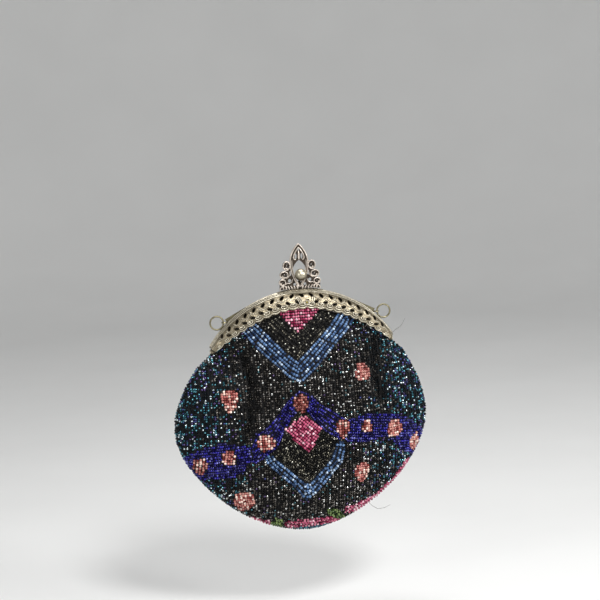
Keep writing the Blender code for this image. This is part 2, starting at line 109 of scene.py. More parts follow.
def settle(piece):
    # live modifiers or a curve become a plain mesh
    mesh = bpy.data.meshes.new_from_object(piece.evaluated_get(bpy.context.evaluated_depsgraph_get()))
    mesh.name = name = piece.name
    bpy.data.objects.remove(piece, do_unlink=True)
    return addObject(name, mesh)


def wirePiece(name, paths, thickness, finish, sidesLevel=1):
    # a path is its points, one girth or a list of them, and True where it closes
    curve = bpy.data.curves.new(name, "CURVE")
    curve.dimensions = "3D"
    curve.bevel_depth = thickness
    curve.bevel_resolution = sidesLevel
    curve.use_fill_caps = True
    for points, girths, *closed in paths:
        spline = curve.splines.new("POLY")
        spline.points.add(len(points) - 1)
        if not isinstance(girths, list):
            girths = [girths] * len(points)
        for knot, point, girth in zip(spline.points, points, girths):
            knot.co = (*point, 1.0)
            knot.radius = girth
        spline.use_cyclic_u = bool(closed)
        spline.use_smooth = True
    piece = settle(addObject(name, curve))
    dress(piece, finish)
    piece.data.shade_smooth()
    return piece


def growRim(surface, growth, rise=0.0):
    # one more ring of faces around an open rim
    rim = [edge for edge in surface.edges if edge.is_boundary]
    grown = bmesh.ops.extrude_edge_only(surface, edges=rim)["geom"]
    outer = [item for item in grown if isinstance(item, bmesh.types.BMVert)]
    bmesh.ops.scale(surface, vec=(growth, growth, 1.0), verts=outer)
    bmesh.ops.translate(surface, vec=(0.0, 0.0, rise), verts=outer)


def mapFaces(surface, placeOf):
    uvMap = surface.loops.layers.uv.new("UVMap")
    for item in surface.faces:
        for loop in item.loops:
            loop[uvMap].uv = placeOf(loop.vert)


# Finishes, with node groups for what several of them share

def addNode(tree, kind, inputs=None, **settings):
    node = tree.nodes.new("ShaderNode" + kind)
    for setting, value in settings.items():
        setattr(node, setting, value)
    for label, value in (inputs or {}).items():
        node.inputs[label].default_value = value
    return node


def join(tree, *wires):
    # a wire is a node, its output, the next node and its input
    for source, output, target, entry in wires:
        tree.links.new(source.outputs[output], target.inputs[entry])


def addNoise(tree, inputs):
    noise = addNode(tree, "TexNoise", inputs)
    join(tree, (addNode(tree, "TexCoord"), "Object", noise, "Vector"))
    return noise


def newGroup(name, inputs, outputs):
    group = bpy.data.node_groups.new(name, "ShaderNodeTree")
    for label, value in inputs.items():
        kind = "NodeSocketColor" if isinstance(value, tuple) else "NodeSocketFloat"
        group.interface.new_socket(label, in_out="INPUT", socket_type=kind).default_value = value
    for label in outputs:
        kind = "NodeSocketColor" if label == "Color" else "NodeSocketFloat"
        group.interface.new_socket(label, in_out="OUTPUT", socket_type=kind)
    return group, group.nodes.new("NodeGroupInput"), group.nodes.new("NodeGroupOutput")


def makeTarnishGroup():
    # old plate: bright where it is handled, dark in the recesses, blotched between
    group, given, made = newGroup(
        "tarnish", {"Bright": (0.7, 0.65, 0.55, 1.0), "Dark": (0.1, 0.08, 0.06, 1.0), "Recess": 0.0012,
                    "Blotch Scale": 260.0, "Grit Scale": 2600.0}, ("Color", "Roughness", "Height"))
    hollow = addNode(group, "AmbientOcclusion", samples=6)
    shade = addNode(group, "MapRange", {"From Min": 0.42, "From Max": 0.90})
    blotch = addNoise(group, {"Detail": 4.0})
    blotchRange = addNode(group, "MapRange", {"From Min": 0.30, "From Max": 0.62, "To Min": 0.45})
    grit = addNoise(group, {"Detail": 2.0})
    worn = addNode(group, "Math", operation="MULTIPLY")
    tint = addNode(group, "Mix", data_type="RGBA")
    rough = addNode(group, "MapRange", {"To Min": 0.60, "To Max": 0.31})
    join(group,
         (given, "Blotch Scale", blotch, "Scale"), (given, "Grit Scale", grit, "Scale"),
         (given, "Recess", hollow, "Distance"), (hollow, "AO", shade, "Value"),
         (blotch, "Fac", blotchRange, "Value"), (shade, "Result", worn, 0), (blotchRange, "Result", worn, 1),
         (worn, "Value", tint, "Factor"), (given, "Dark", tint, "A"), (given, "Bright", tint, "B"),
         (worn, "Value", rough, "Value"), (tint, "Result", made, "Color"),
         (rough, "Result", made, "Roughness"), (grit, "Fac", made, "Height"))
    return group


def makeWeaveGroup():
    # crossed threads on the piece's UV map
    group, given, made = newGroup(
        "weave", {"Thread": (0.1, 0.1, 0.1, 1.0), "Gap": (0.01, 0.01, 0.01, 1.0), "Threads": 300.0},
        ("Color", "Height"))
    place = addNode(group, "TexCoord")
    cross = addNode(group, "Math", operation="MULTIPLY")
    for entry, direction in enumerate(("X", "Y")):
        wave = addNode(group, "TexWave", {"Distortion": 0.6}, bands_direction=direction)
        join(group, (place, "UV", wave, "Vector"), (given, "Threads", wave, "Scale"),
             (wave, "Fac", cross, entry))
    slub = addNode(group, "TexNoise", {"Scale": 12.0})
    mixture = addNode(group, "Math", {1: 0.5}, operation="MULTIPLY_ADD")
    tint = addNode(group, "Mix", data_type="RGBA")
    join(group, (place, "UV", slub, "Vector"), (slub, "Fac", mixture, 0), (cross, "Value", mixture, 2),
         (mixture, "Value", tint, "Factor"), (given, "Gap", tint, "A"), (given, "Thread", tint, "B"),
         (tint, "Result", made, "Color"), (cross, "Value", made, "Height"))
    return group


def makeGroundGroup():
    # how far a place lies down the arched band, from its smooth ridge to its chased ground
    group, given, made = newGroup("bandGround", {"Centre": 0.0, "Radius": 0.077}, ("Mask",))
    place = addNode(group, "TexCoord")
    parts = addNode(group, "SeparateXYZ")
    rise = addNode(group, "Math", operation="SUBTRACT")
    flat = addNode(group, "CombineXYZ")
    reach = addNode(group, "VectorMath", operation="LENGTH")
    down = addNode(group, "Math", operation="SUBTRACT")
    fade = addNode(group, "MapRange", {"From Min": 0.0008, "From Max": 0.0022},
                   interpolation_type="SMOOTHSTEP")
    join(group,
         (place, "Object", parts, "Vector"), (parts, "Z", rise, 0), (given, "Centre", rise, 1),
         (parts, "X", flat, "X"), (rise, "Value", flat, "Z"), (flat, "Vector", reach, 0),
         (given, "Radius", down, 0), (reach, "Value", down, 1), (down, "Value", fade, "Value"),
         (fade, "Result", made, "Mask"))
    return group


def newFinish(name, inputs):
    material = bpy.data.materials.new(name)
    material.use_nodes = True
    shader = material.node_tree.nodes["Principled BSDF"]
    for label, value in inputs.items():
        shader.inputs[label].default_value = value
    return material.node_tree, shader


def addGroup(tree, group, *values):
    # one value for each of the group's inputs, in order
    node = addNode(tree, "Group", node_tree=group)
    for entry, value in zip(node.inputs, values):
        entry.default_value = (*value, 1.0) if isinstance(value, tuple) else value
    return node


def addBump(tree, source, output, target, strength, distance):
    bump = addNode(tree, "Bump", {"Strength": strength, "Distance": distance})
    join(tree, (source, output, bump, "Height"), (bump, "Normal", target, "Normal"))
    return bump


def darkenBase(finish, mask, output, colour):
    # multiplies a finish's colour by another one where the mask is on
    tree = bpy.data.materials[finish].node_tree
    shader = tree.nodes["Principled BSDF"]
    tint = addNode(tree, "Mix", data_type="RGBA", blend_type="MULTIPLY")
    tint.inputs["B"].default_value = (*colour, 1.0)
    tree.links.new(shader.inputs["Base Color"].links[0].from_socket, tint.inputs["A"])
    join(tree, (mask, output, tint, "Factor"), (tint, "Result", shader, "Base Color"))


# bright colour, dark colour, depth of a recess, blotch scale, grit scale, strength of the grit
metals = {
    "chasedSilver": ((0.54, 0.485, 0.37), (0.018, 0.014, 0.009), 0.0016, 190.0, 1100.0, 0.88),
    "reliefSilver": ((0.76, 0.70, 0.56), (0.10, 0.08, 0.055), 0.0010, 260.0, 1800.0, 0.40),
    # painted shade: near-black wire around each slot, widening the dark of the slot where there is only shade
    "slotEdge": ((0.020, 0.016, 0.012), (0.004, 0.003, 0.002), 0.0014, 300.0, 2600.0, 0.20),
    # crest plate: dark metal, partly the plate's own tarnish and partly painted shade for its shaded
    # piercings
    "crestPlate": ((0.105, 0.084, 0.067), (0.012, 0.009, 0.007), 0.0014, 300.0, 2600.0, 0.48),
    "crestWire": ((0.88, 0.79, 0.70), (0.28, 0.23, 0.19), 0.0006, 260.0, 2600.0, 0.16),
    "handledSilver": ((0.76, 0.70, 0.54), (0.18, 0.155, 0.11), 0.0012, 150.0, 2600.0, 0.12),
    "brassBoss": ((0.46, 0.37, 0.12), (0.10, 0.075, 0.02), 0.0006, 400.0, 2600.0, 0.16),
    "dullWire": ((0.30, 0.27, 0.17), (0.055, 0.046, 0.028), 0.0008, 330.0, 2600.0, 0.20),
}

# thread colour, gap colour, threads on a unit of the UV map, roughness, sheen, strength of the wrinkles
cloths = {
    "backingCloth": ((0.009, 0.008, 0.009), (0.003, 0.003, 0.003), 380.0, 0.95, 0.0, 0.0),
    "satinCloth": ((0.075, 0.052, 0.058), (0.028, 0.018, 0.022), 620.0, 0.36, 0.15, 0.9),
    "cottonThread": ((0.105, 0.095, 0.085), (0.050, 0.045, 0.040), 90.0, 0.85, 0.2, 0.0),
    "tapeCloth": ((0.030, 0.027, 0.025), (0.008, 0.007, 0.007), 240.0, 0.80, 0.3, 0.0),
}


def makeMetals(tarnish):
    for name, (*values, grit) in metals.items():
        tree, shader = newFinish(name, {"Metallic": 1.0})
        group = addGroup(tree, tarnish, *values)
        join(tree, (group, "Color", shader, "Base Color"), (group, "Roughness", shader, "Roughness"))
        addBump(tree, group, "Height", shader, grit, 0.0003)


def makeCloths(weave):
    for name, (*values, rough, sheen, wrinkle) in cloths.items():
        tree, shader = newFinish(name, {"Roughness": rough, "Sheen Weight": sheen})
        group = addGroup(tree, weave, *values)
        join(tree, (group, "Color", shader, "Base Color"))
        fine = addBump(tree, group, "Height", shader, 0.5, 0.0002)
        if wrinkle:
            crumple = addNoise(tree, {"Scale": 75.0, "Detail": 3.0, "Distortion": 1.2})
            addBump(tree, crumple, "Fac", fine, wrinkle, 0.003)


def makeBeadFinish():
    # every bead has its own colour and lustre, and the jet beads are dull beside the lustred ones
    tree, shader = newFinish("cutGlass", {"IOR": 1.52})
    tint = addNode(tree, "Attribute", attribute_name="beadColour")
    lustre = addNode(tree, "Attribute", attribute_name="lustre")
    haze = addNoise(tree, {"Scale": 900.0})
    rough = addNode(tree, "MapRange", {"To Min": 0.06, "To Max": 0.26})
    gloss = addNode(tree, "MapRange", {"From Max": 0.05, "To Min": 0.10, "To Max": 0.55})
    join(tree,
         (haze, "Fac", rough, "Value"), (lustre, "Fac", gloss, "Value"),
         (tint, "Color", shader, "Base Color"), (lustre, "Fac", shader, "Metallic"),
         (rough, "Result", shader, "Roughness"), (gloss, "Result", shader, "Specular IOR Level"))


makeMetals(makeTarnishGroup())
makeCloths(makeWeaveGroup())
makeBeadFinish()
print("finishes made")


# Arched frame: the same cove as the metal halves

archForm = {
    "radius": 0.0770,
    "crownDrop": 0.0127, "tipDrop": 0.0046,
    "crownDepth": 0.0085, "tipDepth": 0.0060,
    "taperPower": 3.5,
    "endHeight": 0.0030,
    "halfGap": 0.00015,
    "lobePitch": 0.0061, "lobeDepth": 0.0012, "lobeFade": 3.0,
    "wall": 0.0009,
}
archRadius = archForm["radius"]
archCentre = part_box("front_frame")[1].z - archRadius
archEnd = acos((archForm["endHeight"] + hingeSpot.z - archCentre) / archRadius)
lobeAngle = archForm["lobePitch"] / (archRadius - archForm["crownDrop"])


def onArch(radius, angle, y=0.0):
    return Vector((radius * sin(angle), y, archCentre + radius * cos(angle)))


def bandTaper(angle):
    return 1.0 - min(1.0, abs(angle) / archEnd) ** archForm["taperPower"]


def bandDrop(angle):
    return blendValues(archForm["tipDrop"], archForm["crownDrop"], bandTaper(angle))


def bandDepth(angle):
    return blendValues(archForm["tipDepth"], archForm["crownDepth"], bandTaper(angle))


def coveSpot(side, angle, share, lift=0.0):
    # share runs from the ridge (0) to the lower edge (1), lift stands off the metal
    turn = share * pi / 2
    drop, depth = bandDrop(angle), bandDepth(angle)
    away = Vector((depth * cos(turn), drop * sin(turn))).normalized()
    fade = min(1.0, archForm["lobeFade"] * bandTaper(angle))
    notch = archForm["lobeDepth"] * fade * (1.0 - abs(cos(pi * angle / lobeAngle))) * max(0.0, share) ** 3
    radius = archRadius - drop * (1.0 - cos(turn)) + notch + away.x * lift
    across = archForm["halfGap"] + (depth - archForm["halfGap"]) * sin(turn) + away.y * lift
    return onArch(radius, angle, side * across)


# shares are places down the cove, girths of paths are multiples of lobeWire
chasing = {
    "rimShares": (0.07, 0.19, 0.30),
    "rimGirths": (0.00040, 0.00034, 0.00030),
    "rimSteps": 150, "rimReach": 0.985,
    "slotShares": (0.47, 0.74),
    "slotReach": 0.86,
    "slotHalfLength": 0.00178, "slotHalfWidth": 0.00096,
    "slotTilt": radians(38),
    "lobeWire": 0.00043, "fineWire": 0.00026,
    "lobeShare": 0.845, "leafShare": 0.80, "edgeShare": 0.955, "edgeReach": 0.46,
    # ornaments of a lobe, along the band and down it: an arch's start and curl, a bud, a leaf in lobe pitches
    "archStart": (0.0, 0.00075), "archCurl": ((0.00095, -0.00055), 0.00130, 0.00050, radians(84), -0.80),
    "archGirth": 0.85, "archThinning": 0.40,
    "bud": ((0.0, -0.0016), (0.0, -0.0010), (0.0, -0.0004)),
    "leaf": ((0.44, -0.0046), (0.47, -0.0058), (0.56, -0.0071)),
    "lift": 0.00004,
    "tipSize": 0.35, "tipSlotSize": 0.55,
    "vineDrop": 0.0037, "vineWave": 0.0009,
    "crownClear": 0.0060,
    "roundel": ((0.00185, 0.7), (0.00110, 0.45)), "roundelLift": 0.0002,
    "strokeShare": 0.70, "strokeLift": 0.0001,
    "bossRadius": 0.00085,
}
crownAngle = 0.0035 / archRadius


def rimPaths(side):
    steps = chasing["rimSteps"]
    angles = [archEnd * chasing["rimReach"] * (2.0 * step / steps - 1.0) for step in range(steps + 1)]
    return [([coveSpot(side, angle, share, chasing["lift"]) for angle in angles], girth / chasing["lobeWire"])
            for share, girth in zip(chasing["rimShares"], chasing["rimGirths"])]


def localPath(side, angle, share, outline, size=1.0, lift=chasing["lift"]):
    # outline is in metres about a place on the cove: along the band, and down it
    turn = share * pi / 2
    drop, depth = bandDrop(angle), bandDepth(angle)
    slope = hypot(drop * sin(turn), depth * cos(turn)) * pi / 2
    radius = archRadius - drop * (1.0 - cos(turn))
    return [coveSpot(side, angle + along * size / radius,
                     min(1.0, max(0.02, share + down * size / slope)), lift) for along, down in outline]


def ringOutline(halfLong, halfWide, tilt=0.0, steps=14):
    outline = []
    for step in range(steps):
        turn = tau * step / steps
        along, down = halfLong * cos(turn), halfWide * sin(turn)
        outline.append((along * cos(tilt) - down * sin(tilt), along * sin(tilt) + down * cos(tilt)))
    return outline


def curlOutline(centre, startRadius, endRadius, startTurn, turns, steps=14):
    outline = []
    for step in range(steps + 1):
        turn = startTurn + turns * tau * (step / steps)
        radius = blendValues(startRadius, endRadius, step / steps)
        outline.append((centre[0] + radius * cos(turn), centre[1] + radius * sin(turn)))
    return outline


# painted shade: thin near-black rims around the slots make each slot's dark, shaded opening read larger
def slotShadeRims(side):
    paths = []
    girth = chasing["fineWire"] / chasing["lobeWire"]
    count = int(archEnd * chasing["slotReach"] / lobeAngle)
    for row, share in enumerate(chasing["slotShares"]):
        for step in range(-count, count + (1 - row)):
            angle = lobeAngle * (step + 0.5 * row)
            tilt = chasing["slotTilt"] * (1 if row == 0 else -1) * (1 if angle >= 0 else -1)
            outline = ringOutline(chasing["slotHalfLength"], chasing["slotHalfWidth"], tilt)
            size = blendValues(chasing["tipSlotSize"], 1.0, bandTaper(angle))
            paths.append((localPath(side, angle, share, outline, size), girth, True))
    return paths


def nearCrown(angle):
    return abs(angle - crownAngle) * archRadius < chasing["crownClear"]


def lobePaths(side):
    # every lobe is a pair of nested arches whose ends curl in, with a bud between them
    paths = []
    count = int(archEnd / lobeAngle - 0.5)
    arch = [chasing["archStart"]] + curlOutline(*chasing["archCurl"])
    archGirths = [chasing["archGirth"] - chasing["archThinning"] * index / len(arch)
                  for index in range(len(arch))]
    for step in range(-count, count + 1):
        angle = lobeAngle * step
        size = blendValues(chasing["tipSize"], 1.0, bandTaper(angle))
        reach = lobeAngle * chasing["edgeReach"]
        edge = [coveSpot(side, angle + reach * (part / 6.0 - 1.0), chasing["edgeShare"], chasing["lift"])
                for part in range(13)]
        paths.append((edge, [0.55 + 0.55 * sin(pi * part / 12) for part in range(13)]))
        for mirror in (-1, 1):
            half = [(mirror * along, down) for along, down in arch]
            paths.append((localPath(side, angle, chasing["lobeShare"], half, size), archGirths))
        if nearCrown(angle):
            continue
        paths.append((localPath(side, angle, chasing["lobeShare"], chasing["bud"], size), [0.3, 1.1, 0.4]))
        # a short leaf between two slots of the upper row
        lean = archForm["lobePitch"] * (1 if step >= 0 else -1)
        leaf = [(lean * along, down) for along, down in chasing["leaf"]]
        paths.append((localPath(side, angle, chasing["leafShare"], leaf, size), [1.0, 0.9, 0.4]))
    # a vine that waves below the upper slots and above the lower ones
    for mirror in (-1, 1):
        vine = []
        for part in range(8 * count + 1):
            angle = mirror * lobeAngle * part / 8
            if nearCrown(angle):
                continue
            wave = -chasing["vineDrop"] + chasing["vineWave"] * cos(tau * part / 8)
            size = blendValues(chasing["tipSize"], 1.0, bandTaper(angle))
            vine.extend(localPath(side, angle, chasing["leafShare"], [(0.0, wave)], size))
        paths.append((vine, [0.50 + 0.12 * cos(0.785 * index) for index in range(len(vine))]))
    return paths


# strokes beside the crown's roundel: count, first place, pace, bends in tenths of a millimetre, girths
crownStrokes = (
    (3, -0.0031, -0.0012, [(-22, -36), (-10, -16), (0, 4), (3, 20)], [0.3, 0.7, 0.8, 0.4]),
    (2, 0.0031, 0.0014, [(24, -40), (8, -24), (10, -2), (0, 20)], [0.3, 0.8, 0.8, 0.4]),
)


def crownPaths(side):
    # roundel below the crest, with fluted strokes to its left and two long curves to its right
    paths = []
    for radius, girth in chasing["roundel"]:
        outline = localPath(side, crownAngle, chasing["leafShare"], ringOutline(radius, radius),
                            lift=chasing["roundelLift"])
        paths.append((outline, girth, True))
    for count, first, pace, bends, girths in crownStrokes:
        for stroke in range(count):
            start = first + pace * stroke
            outline = [(start + along, down) for along, down in inMetres(bends)]
            line = localPath(side, crownAngle, chasing["strokeShare"], outline, lift=chasing["strokeLift"])
            paths.append((line, girths))
    return paths


def makeChasing():
    for side, body, word in halves:
        for name, paths, finish in (("_rim_lines", rimPaths(side), "reliefSilver"),
                                    ("_lobe_scrolls", lobePaths(side), "reliefSilver"),
                                    ("_slot_rims", slotShadeRims(side), "slotEdge"),
                                    ("_crown_roundel", crownPaths(side), "reliefSilver")):
            seat(wirePiece(word + name, paths, chasing["lobeWire"], finish), body, "aged_silver")
        # brassy boss in the middle of the roundel
        boss = bmesh.new()
        bmesh.ops.create_uvsphere(boss, u_segments=20, v_segments=12, radius=chasing["bossRadius"])
        bmesh.ops.translate(boss, vec=coveSpot(side, crownAngle, chasing["leafShare"]), verts=boss.verts[:])
        seat(keepPiece(word + "_crown_boss", boss, "brassBoss"), body, "aged_silver")
    # the chased ground of the band is darker than its ridge
    tree = bpy.data.materials["chasedSilver"].node_tree
    ground = addGroup(tree, makeGroundGroup(), archCentre, archRadius)
    darkenBase("chasedSilver", ground, "Mask", (0.62, 0.59, 0.54))


makeChasing()
print("frame chased")


# Crest: wires and scrolls on the pierced plate, in metres from the middle of its foot

crestForm = {
    "height": 0.0305,
    "plane": -0.00275, "backShift": 0.0040,
    "lancetHalf": 0.0064, "lancetBelly": 0.0170,
    "strip": 0.0016,
    "fanHalf": 0.0142,
    # middle and half size of each scroll, in shares of the fan's half width and of the height
    "scrollShares": ((0.62, 0.505, 0.200, 0.110), (0.765, 0.305, 0.225, 0.088), (0.86, 0.135, 0.185, 0.078)),
    # first direction in degrees, turns, and how a scroll's rim and its inner curl close in
    "scrollSteps": 30, "scrollLean": 20, "scrollInset": 0.0004,
    "rimTurn": (-120, 1.22), "rimClosing": 0.48, "blobStart": 0.72,
    "curlTurn": (-105, 1.5), "curlSize": 0.74, "curlClosing": 0.62, "curlDepth": 0.75,
    "wire": 0.00034,
    "outerInset": 0.00022, "innerInset": 0.00135, "lowEnd": 0.0004, "innerTop": 0.0192,
    "footStrokes": 6, "footFirst": 0.0016, "footPitch": 0.0020,
    # bright lines on the plate: spine of a right-hand line in tenths of a millimetre, and its girths
    "strands": (
        ([(0, 281), (11, 266), (24, 246), (34, 226), (38, 209), (33, 197), (24, 194)],
         [0.9, 1.2, 1.2, 1.1, 1.2, 1.4, 1.5]),
        ([(62, 108), (72, 86), (84, 74), (98, 66)], [0.6, 0.9, 1.0, 0.7]),
        ([(50, 62), (58, 40), (74, 32), (90, 36), (102, 24)], [0.6, 1.0, 1.1, 1.0, 0.7]),
        ([(88, 8), (110, 16), (132, 12), (141, -2), (139, -14)], [0.7, 1.1, 1.3, 1.2, 1.3]),
    ),
    "leaf": ([(0, 194), (0, 206), (0, 222), (0, 240), (0, 254)], [0.7, 1.8, 2.5, 1.7, 0.5]),
}
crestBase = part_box("crest")[1].z - crestForm["height"]


def lancetSide(inset, low, high):
    # right side of the pointed oval, from its foot to its tip, between two heights
    halfWidth, belly = crestForm["lancetHalf"] - inset, crestForm["lancetBelly"]
    bottom, top = -crestForm["strip"] / 2 + inset, crestForm["height"] - 1.3 * inset
    shares = [step / 14 for step in range(15)]
    right = [(halfWidth * sin(share * pi / 2) ** 0.85, blendValues(bottom, belly, share)) for share in shares]
    right += [(halfWidth * max(0.0, cos(share * pi / 2)) ** 0.8, belly + (top - belly) * share ** 0.9)
              for share in shares[1:]]
    return [point for point in right if low < point[1] < high]


def crestPath(outline, mirror=1, plane=crestForm["plane"]):
    return [Vector((mirror * x, plane, crestBase + z)) for x, z in outline]


def scrollPath(index, share, startTurn, turns, size):
    across, up, halfX, halfZ = crestForm["scrollShares"][index]
    fanHalf, height = crestForm["fanHalf"], crestForm["height"]
    inset = crestForm["scrollInset"]
    turn = radians(startTurn + crestForm["scrollLean"] * index) + turns * tau * share
    return (across * fanHalf + (halfX * fanHalf - inset) * size * cos(turn),
            up * height + (halfZ * height - inset) * size * sin(turn))


def makeCrest():
    side = lancetSide(crestForm["outerInset"], crestForm["lowEnd"], 1.0)
    inner = lancetSide(crestForm["innerInset"], crestForm["lowEnd"], crestForm["innerTop"])
    paths = [(crestPath(side + [(-x, z) for x, z in side[-2::-1]]), 1.35)]
    paths += [(crestPath(inner, mirror), 0.9) for mirror in (-1, 1)]
    paths.append((crestPath(inMetres(crestForm["leaf"][0])), crestForm["leaf"][1]))
    # the inner curls are dark wires, painted shade standing in for the shaded hollows inside the scrolls
    shadeCurls = []
    shares = [step / crestForm["scrollSteps"] for step in range(crestForm["scrollSteps"] + 1)]
    # the rim of a scroll thickens to a blob where it ends
    late = [smoothStep((share - crestForm["blobStart"]) / (1.0 - crestForm["blobStart"])) for share in shares]
    for mirror in (-1, 1):
        for index in range(len(crestForm["scrollShares"])):
            rim = [scrollPath(index, share, *crestForm["rimTurn"], 1.0 - crestForm["rimClosing"] * end)
                   for share, end in zip(shares, late)]
            curl = [scrollPath(index, share, *crestForm["curlTurn"],
                               crestForm["curlSize"] - crestForm["curlClosing"] * share) for share in shares]
            paths.append((crestPath(rim, mirror), [1.15 + 0.85 * end for end in late]))
            shadeCurls.append((crestPath(curl, mirror, crestForm["plane"] * crestForm["curlDepth"]), 1.8))
        paths += [(crestPath(inMetres(spine), mirror), girths) for spine, girths in crestForm["strands"]]
        for stroke in range(crestForm["footStrokes"]):
            foot = crestForm["footFirst"] + crestForm["footPitch"] * stroke
            line = [(foot, -0.0010), (foot + 0.0002, 0.0004), (foot + 0.0010, 0.0017)]
            paths.append((crestPath(line, mirror), [0.8, 1.7, 0.6]))
    rear = [([Vector((point.x, -point.y - crestForm["backShift"], point.z)) for point in points], girths)
            for points, girths in paths]
    for name, lines, share, finish in (("crest_scrolls", paths, 1.0, "crestWire"),
                                       ("crest_curls", shadeCurls, 1.0, "crestPlate"),
                                       ("crest_back_lines", rear, 0.8, "crestWire")):
        seat(wirePiece(name, lines, crestForm["wire"] * share, finish), "front_half", "aged_silver")


footForm = {"lift": 0.0014, "wire": 0.00026, "waves": 5, "first": 0.0024, "pitch": 0.0027, "fade": 0.13,
            "curl": (0.0011, 0.0004), "turns": 0.9, "middle": 0.30, "halfDrop": 0.0060}


def makeFootScrolls():
    # chased waves over the leaf-shaped foot
    paths = []
    for mirror in (-1, 1):
        for start in range(footForm["waves"]):
            place = (mirror * (footForm["first"] + footForm["pitch"] * start), 0.0)
            taper = 1.0 - footForm["fade"] * start
            points = []
            turns = footForm["turns"] * mirror
            for along, down in curlOutline(place, *footForm["curl"], radians(200), turns):
                reach = asin(min(0.95, footForm["middle"] + (down * taper) / footForm["halfDrop"])) / (pi / 2)
                points.append(coveSpot(-1, along / archRadius, reach, footForm["lift"]))
            paths.append((points, taper))
    seat(wirePiece("foot_scrolls", paths, footForm["wire"], "reliefSilver"), "front_half", "aged_silver")


makeCrest()
makeFootScrolls()
print("crest wired")


# Ball, rod, ears and rings

ballForm = {"fadeTop": 0.50, "fadeBottom": 0.85, "shadow": (0.17, 0.155, 0.135)}
ringForm = {"radius": 0.0046, "wire": 0.00060, "around": 56, "sides": 14}


def makeBall():
    low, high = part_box("clasp_ball")
    middle = (low + high) / 2
    radius = (high.x - low.x) / 2
    ball = bmesh.new()
    bmesh.ops.create_uvsphere(ball, u_segments=48, v_segments=28, radius=radius,
                              matrix=Matrix.Translation(middle))
    seat(keepPiece("clasp_bead", ball, "handledSilver"), "bag", "worn_ball", "clasp_ball")
    # painted shade: the ball's colour is darkened towards its bottom, as if shaded from the lamps above
    tree = bpy.data.materials["handledSilver"].node_tree
    place = addNode(tree, "TexCoord")
    parts = addNode(tree, "SeparateXYZ")
    fade = addNode(tree, "MapRange", {"From Min": middle.z + ballForm["fadeTop"] * radius,
                                      "From Max": middle.z - ballForm["fadeBottom"] * radius},
                   interpolation_type="SMOOTHSTEP")
    join(tree, (place, "Object", parts, "Vector"), (parts, "Z", fade, "Value"))
    darkenBase("handledSilver", fade, "Result", ballForm["shadow"])


def makeRings():
    for word in ("left_", "right_"):
        low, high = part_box(word + "ring")
        loop = bmesh.new()
        made = bmesh.ops.create_circle(loop, segments=ringForm["sides"], radius=ringForm["wire"],
                                       matrix=Matrix.Translation((ringForm["radius"], 0.0, 0.0)))
        bmesh.ops.spin(loop, geom=made["verts"] + loop.edges[:], axis=(0.0, 1.0, 0.0), angle=tau,
                       steps=ringForm["around"], use_merge=True)
        bmesh.ops.transform(loop, matrix=Matrix.Translation((low + high) / 2), verts=loop.verts[:])
        seat(keepPiece(word + "chain_ring", loop, "dullWire"), word + "ring", "brassy_wire", word + "ring")


# solids that stay visible, by finish
keptSolids = {
    "chasedSilver": ("front_frame", "back_frame", "crest_foot", "ball_post"),
    "reliefSilver": ("left_hinge_rivet", "right_hinge_rivet"),
    "dullWire": ("left_ear", "right_ear"),
    "crestPlate": ("crest",),
}

makeBall()
makeRings()
for finish, names in keptSolids.items():
    for name in names:
        dress(frame["nodes"][name], finish)
print("fittings made")


# Bag: the swelling sides that carry the beads

bagForm = {
    "outlinePower": 1.76,
    "bellyDrop": 0.0719,
    "seamCornerDrop": 0.0215, "seamCornerHalf": 0.0672,
    "hingeHalf": 0.0628, "hingeNotch": 0.0019,
    "shoulderSlope": 0.9,
    # power of the swell at the sides and at the top, and the sines where it changes
    "sideSwell": 0.56, "topSwell": 0.90, "swellFrom": 0.35, "swellOver": 0.55,
    # direction, width and size of each bulge of the outline
    "bulges": ((radians(184), 0.34, 0.0022), (radians(-2), 0.46, 0.0016)),
    "tuckShare": 0.15, "rimTuck": 0.04,
    "layerGap": 0.0003, "leastEdge": 0.0006, "edgeInset": 0.7,
    "clothDepth": 0.0011, "liningDepth": 0.0026, "clothThickness": 0.0005,
    # middle, half width, depth, lower and upper end of each fold
    "folds": ((-0.0425, 0.0042, 0.0036, -0.082, -0.014), (0.0490, 0.0046, 0.0036, -0.068, -0.008),
              (-0.0300, 0.0036, 0.0012, -0.070, -0.020), (0.0330, 0.0034, 0.0010, -0.066, -0.024),
              (0.0010, 0.0045, 0.0007, -0.072, -0.046)),
    "foldEnd": 0.012, "deepestFold": 0.0036,
    # how a fold winds and how its width changes on its way down: size, pace and start
    "winding": (0.0022, 95.0, 300.0), "spread": (0.30, 140.0, 500.0),
    "rays": 720,
    # length that a unit of the UV map stands for, and rings of a sheet in shares of its outline
    "mapUnit": 0.1, "sheetSides": 180, "sheetPitch": 0.022, "sheetRings": 42,
    "sheetRim": [0.945, 0.963, 0.978, 0.990, 1.0],
}
# where the front would bend when the frame opens, from the bag's body to the front half; nothing in the
# script bends it
foldForm = {"low": -0.0335, "high": -0.0135, "clothShift": 0.0018, "liningShift": 0.0046}
panelLow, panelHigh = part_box("back_panel")
bellyHalfWidth = (panelHigh.x - panelLow.x) / 2
bellyShift = (panelHigh.x + panelLow.x) / 2
bellyHalf = panelHigh.y
bellyDrop = bagForm["bellyDrop"]
bagDrop = -panelLow.z
hingeHalf = bagForm["hingeHalf"]


def fromBelly(angle, reach):
    return bellyShift + reach * cos(angle), -bellyDrop + reach * sin(angle)


def foldWith(piece):
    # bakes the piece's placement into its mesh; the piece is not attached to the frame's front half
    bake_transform(piece)


